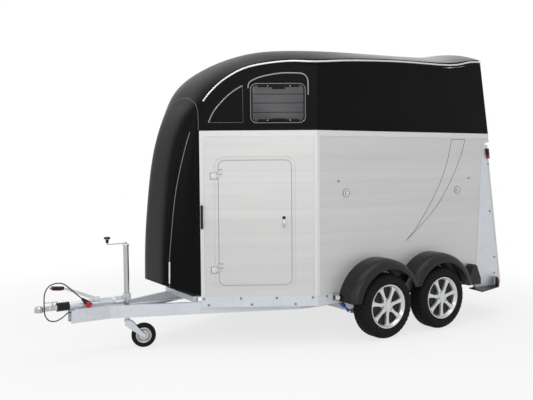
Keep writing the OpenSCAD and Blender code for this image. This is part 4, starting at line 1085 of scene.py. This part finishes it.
# Lamp housings: black bezels round the front position lamps, dark cases on the rear markers, and wrap-round tail
# lamps with red, amber and clear fields, which stand on the corner plates.
amber = paint("amber_lens", (0.75, 0.22, 0.01), 0.12)
amber_ribs = texture(amber, "Wave", 90.0)
feed(amber, Normal=bump(amber_ribs, 0.3, 0.001))
BEZEL = [(0.0222, 0.0), (0.026, 0.0), (0.026, 0.008), (0.0235, 0.011), (0.0222, 0.011)]
TAIL_FROM, TAIL_TO, TAIL_DEEP, TAIL_HIGH = Vector((-1.731, 0.899)), Vector((-1.678, 0.963)), 0.026, 0.092
PLATE_TOP = 0.300
for side, turn in SIDES.items():
    bezel = turned(BEZEL, (0.462 + AXLE_X, HALF_WIDTH + 0.017, 0.410), (0, 1, 0), 32)
    foot = block(
        (0.438 + AXLE_X, HALF_WIDTH + 0.0005, 0.383), (0.486 + AXLE_X, HALF_WIDTH + 0.0135, 0.445), 0.002
    )
    assembled(f"front_lamp_case_{side}", [moved(bezel, turn), moved(foot, turn)], moulded, "black_plastic")
    tilt = Matrix.Translation(
        (AXLE_X - 1.5532, HALF_WIDTH - 0.020, 1.658)
    ) @ Matrix.Rotation(radians(9), 4, "Y")
    case = moved(block((-0.026, -0.003, 0.034), (0.001, 0.050, 0.107), 0.003), tilt)
    assembled(f"marker_case_{side}", [moved(case, turn)], moulded, "black_plastic")
    run = TAIL_TO - TAIL_FROM
    frame_of_lamp = Matrix.Translation((TAIL_FROM.x + AXLE_X, TAIL_FROM.y, PLATE_TOP)) @ Matrix.Rotation(
        math.atan2(run.y, run.x), 4, "Z"
    )
    case = block((0, -TAIL_DEEP, 0), (run.length, -0.006, TAIL_HIGH), 0.003)
    assembled(f"tail_case_{side}", [moved(moved(case, frame_of_lamp), turn)], moulded, "black_plastic")
    fields = (
        ("tail_red", ruby, "lamp_red", 0.03, 0.50), ("tail_amber", amber, "lamp_red", 0.52, 0.76),
        ("tail_clear", lens, "lamp_clear", 0.78, 0.97)
    )
    for name, glass, slot, low_share, high_share in fields:
        field = block(
            (0.003, -0.008, TAIL_HIGH * low_share), (run.length - 0.003, 0.004, TAIL_HIGH * high_share), 0.003
        )
        assembled(f"{name}_{side}", [moved(moved(field, frame_of_lamp), turn)], glass, slot)

# Ramp fittings: raised ribs on the inner face, side latches, a lift handle, a blank number plate in its holder and
# two triangular red reflectors. All of them swing with the ramp.
RAMP_FOOT = Matrix.Translation((AXLE_X - 1.809048, 0, 0.318)) @ Matrix.Rotation(radians(9), 4, "Y")
RAMP_FACE = 0.0275
cleats = [
    moved(
        block((RAMP_FACE - 0.001, -0.80, z - 0.010), (RAMP_FACE + 0.007, 0.80, z + 0.010), 0.003), RAMP_FOOT
    )
    for z in [0.16 + 0.20 * k for k in range(7)]
]
assembled("ramp_cleats", cleats, moulded, "black_plastic", "ramp")
frame_bars = [
    block((-RAMP_FACE - 0.004, -0.848, 1.452), (-RAMP_FACE + 0.001, 0.848, 1.498), 0.0015),
    block((-RAMP_FACE - 0.004, -0.848, 0.05), (-RAMP_FACE + 0.001, -0.802, 1.452), 0.0015),
    block((-RAMP_FACE - 0.004, 0.802, 0.05), (-RAMP_FACE + 0.001, 0.848, 1.452), 0.0015),
    block((-RAMP_FACE - 0.004, -0.848, 0.03), (-RAMP_FACE + 0.001, 0.848, 0.05), 0.0015),
]
assembled("ramp_frame", [moved(bar, RAMP_FOOT) for bar in frame_bars], profile, "profile", "ramp")
latches = []
for s in (1, -1):
    latches += [
        block(
            (-RAMP_FACE - 0.012, 0.775 * s - 0.020, 1.38), (-RAMP_FACE - 0.0035, 0.775 * s + 0.020, 1.47),
            0.003
        ),
        rod((-RAMP_FACE - 0.018, 0.775 * s, 1.30), (-RAMP_FACE - 0.018, 0.775 * s, 1.45), 0.008),
        block(
            (-RAMP_FACE - 0.020, 0.775 * s - 0.012, 1.425), (-RAMP_FACE - 0.010, 0.775 * s + 0.012, 1.445),
            0.002
        ),
        rod((-RAMP_FACE - 0.018, 0.775 * s, 1.32), (-RAMP_FACE - 0.001, 0.775 * s, 1.32), 0.007),
    ]
handle = [
    rod((-RAMP_FACE - 0.020, -0.09, 1.30), (-RAMP_FACE - 0.020, 0.09, 1.30), 0.009),
    rod((-RAMP_FACE - 0.020, -0.085, 1.30), (-RAMP_FACE, -0.085, 1.30), 0.008),
    rod((-RAMP_FACE - 0.020, 0.085, 1.30), (-RAMP_FACE, 0.085, 1.30), 0.008),
]
assembled("ramp_latches", [moved(part, RAMP_FOOT) for part in latches], zinc, "galvanised", "ramp")
assembled("ramp_handle", [moved(part, RAMP_FOOT) for part in handle], moulded, "black_plastic", "ramp")
holder = block((-RAMP_FACE - 0.006, -0.27, 0.30), (-RAMP_FACE, 0.27, 0.43), 0.003)
assembled("plate_holder", [moved(holder, RAMP_FOOT)], moulded, "black_plastic", "ramp")
plate_white = paint("blank_plate", (0.80, 0.80, 0.78), 0.35)
plate_grain = texture(plate_white, "Noise", 300.0)
feed(plate_white, Roughness=0.3 + 0.1 * plate_grain)
plate = block((-RAMP_FACE - 0.0075, -0.26, 0.31), (-RAMP_FACE - 0.005, 0.26, 0.42), 0.001)
assembled("number_plate", [moved(plate, RAMP_FOOT)], plate_white, "lamp_clear", "ramp")
triangles = []
for s in (1, -1):
    bpy.ops.object.select_all(action="DESELECT")
    bpy.ops.mesh.primitive_cylinder_add(vertices=3, radius=0.085, depth=0.007, location=(0, 0, 0))
    triangle = rounded(bpy.context.object, 0.002)
    standing = Matrix(((0, 0, 1, 0), (1, 0, 0, 0), (0, 1, 0, 0), (0, 0, 0, 1)))
    triangles.append(
        moved(triangle, RAMP_FOOT @ Matrix.Translation((-RAMP_FACE - 0.003, 0.60 * s, 0.36)) @ standing)
    )
assembled("rear_triangles", triangles, ruby, "lamp_red", "ramp")

# Tyres: radial road tyres with ribbed tread.
tyre_rubber = paint("tyre_rubber", (0.010, 0.010, 0.011), 0.7, Specular_IOR_Level=0.1)
dust = texture(tyre_rubber, "Noise", 40.0, 4.0)
feed(
    tyre_rubber, Base_Color=blend_colours(dust, (0.006, 0.006, 0.0065), (0.018, 0.018, 0.0185)),
    Normal=bump(dust, 0.2, 0.001)
)
coat(tyre_rubber, "jockey_tyre")
TYRE_R, TYRE_HALF = 0.3025, 0.0925
WHEEL_Y = 0.994
WHEELS = {
    (end, side): turn @ Matrix.Translation((AXLE_X - back, WHEEL_Y, TYRE_R))
    for side, turn in SIDES.items() for end, back in (("front", 0.0), ("rear", 0.708))
}
GROOVES = (-0.42, -0.15, 0.15, 0.42)
GROOVE_WIDE, GROOVE_DEEP, CUT_DEEP = 0.0035, 0.007, 0.004
STEPS = 120
wall_of_tyre = [
    (0.632, -0.70), (0.680, -0.78), (0.710, -0.93), (0.718, -0.95), (0.722, -0.975), (0.770, -1.0), (0.830, -1.0),
    (0.850, -0.985), (0.855, -0.965), (0.905, -0.93), (0.962, -0.80), (0.990, -0.65),
]
tread = []
for share in GROOVES:
    middle = share * TYRE_HALF
    tread += [
        (TYRE_R, middle - GROOVE_WIDE), (TYRE_R - GROOVE_DEEP, middle - GROOVE_WIDE * 0.6),
        (TYRE_R - GROOVE_DEEP, middle + GROOVE_WIDE * 0.6), (TYRE_R, middle + GROOVE_WIDE),
    ]
left_wall = [(TYRE_R * r, TYRE_HALF * y) for r, y in wall_of_tyre]
tyre = turned(left_wall + tread + [(r, -y) for r, y in reversed(left_wall)], (0, 0, 0), (0, 1, 0), STEPS)
bpy.ops.object.mode_set(mode="EDIT")
bpy.ops.mesh.select_all(action="DESELECT")
bpy.ops.object.mode_set(mode="OBJECT")
for face in tyre.data.polygons:
    spot = face.center
    step = int((math.atan2(spot.z, spot.x) / (2 * pi) + 0.5) * STEPS)
    across = abs(spot.y) / TYRE_HALF
    shoulder = 0.5 < across < 0.9 and spot.to_tuple()[0] ** 2 + spot.z ** 2 > (0.9 * TYRE_R) ** 2
    rib = 0.2 < across < 0.4 and (step + 1) % 4 == 0 and face.normal.y ** 2 < 0.1
    face.select = (shoulder and step % 3 == 0) or rib
bpy.ops.object.mode_set(mode="EDIT")
bpy.ops.mesh.select_mode(type="FACE")
bpy.ops.mesh.inset(thickness=0.0015, depth=-CUT_DEEP)
bpy.ops.object.mode_set(mode="OBJECT")
for (end, side), piece in zip(WHEELS, repeated(tyre, WHEELS.values())):
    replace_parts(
        assembled(
            f"road_tyre_{end}_{side}", [piece], tyre_rubber, "tyre", f"wheel_{end}_{side}", 32
        ), f"tyre_{end}_{side}"
    )


# Rims: cast aluminium in silver lacquer.
silver = paint("silver_lacquer", (0.66, 0.67, 0.68), 0.28, 0.55, Coat_Weight=0.4, Coat_Roughness=0.08)
flake = texture(silver, "Noise", 300.0, 1.0)
feed(silver, Roughness=0.22 + 0.14 * flake)
coat(silver, "rim_front_left", "rim_front_right", "rim_rear_left", "rim_rear_right")
# Black for a sheet on each brake drum's face behind the spokes, partly the drum's black paint and partly painted
# shade inside the wheel, and for thin rings round the wheel bolts, painted shade in their pockets.
drum_black_and_shade = paint("drum_black_and_shade", (0.010, 0.010, 0.011), 0.5, Specular_IOR_Level=0.3)
brake_dust = texture(drum_black_and_shade, "Noise", 30.0)
feed(drum_black_and_shade, Roughness=0.4 + 0.25 * brake_dust)
DRUM_FACE = [
    (0.0625, 0.0355), (0.1775, 0.0355), (0.1775, 0.0385), (0.150, 0.0400), (0.100, 0.0400), (0.0625, 0.0385)
]
CAP = [
    (0, 0.0675), (0.028, 0.0675), (0.031, 0.069), (0.030, 0.0745), (0.024, 0.078), (0.010, 0.0795),
    (0, 0.0797)
]
WHEEL_BOLT = [(0, 0.054), (0.0075, 0.054), (0.0075, 0.0655), (0.0060, 0.0672), (0, 0.0672)]
BOLT_CIRCLE = 0.056
LIP_RING = [(0.1965, 0.0795), (0.2015, 0.0795), (0.2015, 0.0838), (0.1985, 0.0846), (0.1965, 0.0838)]
for (end, side), place in WHEELS.items():
    bolts = repeated(
        turned(WHEEL_BOLT, (0, 0, 0), (0, 1, 0), 6),
        [
            place @ Matrix.Rotation(k * 2 * pi / 5, 4, "Y") @ Matrix.Translation((BOLT_CIRCLE, 0, 0))
            for k in range(5)
        ],
    )
    assembled(
        f"drum_face_{end}_{side}", [moved(turned(DRUM_FACE, (0, 0, 0), (0, 1, 0), 48), place)], drum_black_and_shade,
        "black_plastic", f"wheel_{end}_{side}"
    )
    # Thin black rings round the wheel bolts: painted shade in the bolt pockets.
    pocket_shade_rings = repeated(
        turned(
            [(0.0080, 0.0675), (0.0118, 0.0675), (0.0118, 0.0684), (0.0080, 0.0684)], (0, 0, 0), (0, 1, 0), 20
        ),
        [
            place @ Matrix.Rotation(k * 2 * pi / 5, 4, "Y") @ Matrix.Translation((BOLT_CIRCLE, 0, 0))
            for k in range(5)
        ],
    )
    assembled(f"bolt_pocket_shade_{end}_{side}", pocket_shade_rings, drum_black_and_shade, "black_plastic", f"wheel_{end}_{side}")
    assembled(f"wheel_bolts_{end}_{side}", bolts, shaded_bolt_steel, "galvanised", f"wheel_{end}_{side}", 25)
    trim = [
        moved(turned(CAP, (0, 0, 0), (0, 1, 0), 40), place),
        moved(turned(LIP_RING, (0, 0, 0), (0, 1, 0), 96), place)
    ]
    assembled(f"rim_trim_{end}_{side}", trim, silver, "rim_silver", f"wheel_{end}_{side}")
    valve = moved(rod((0.172, 0.062, 0), (0.165, 0.082, 0), 0.004, 0.003, 12), place)
    assembled(f"valve_{end}_{side}", [valve], rubber, "black_rubber", f"wheel_{end}_{side}")
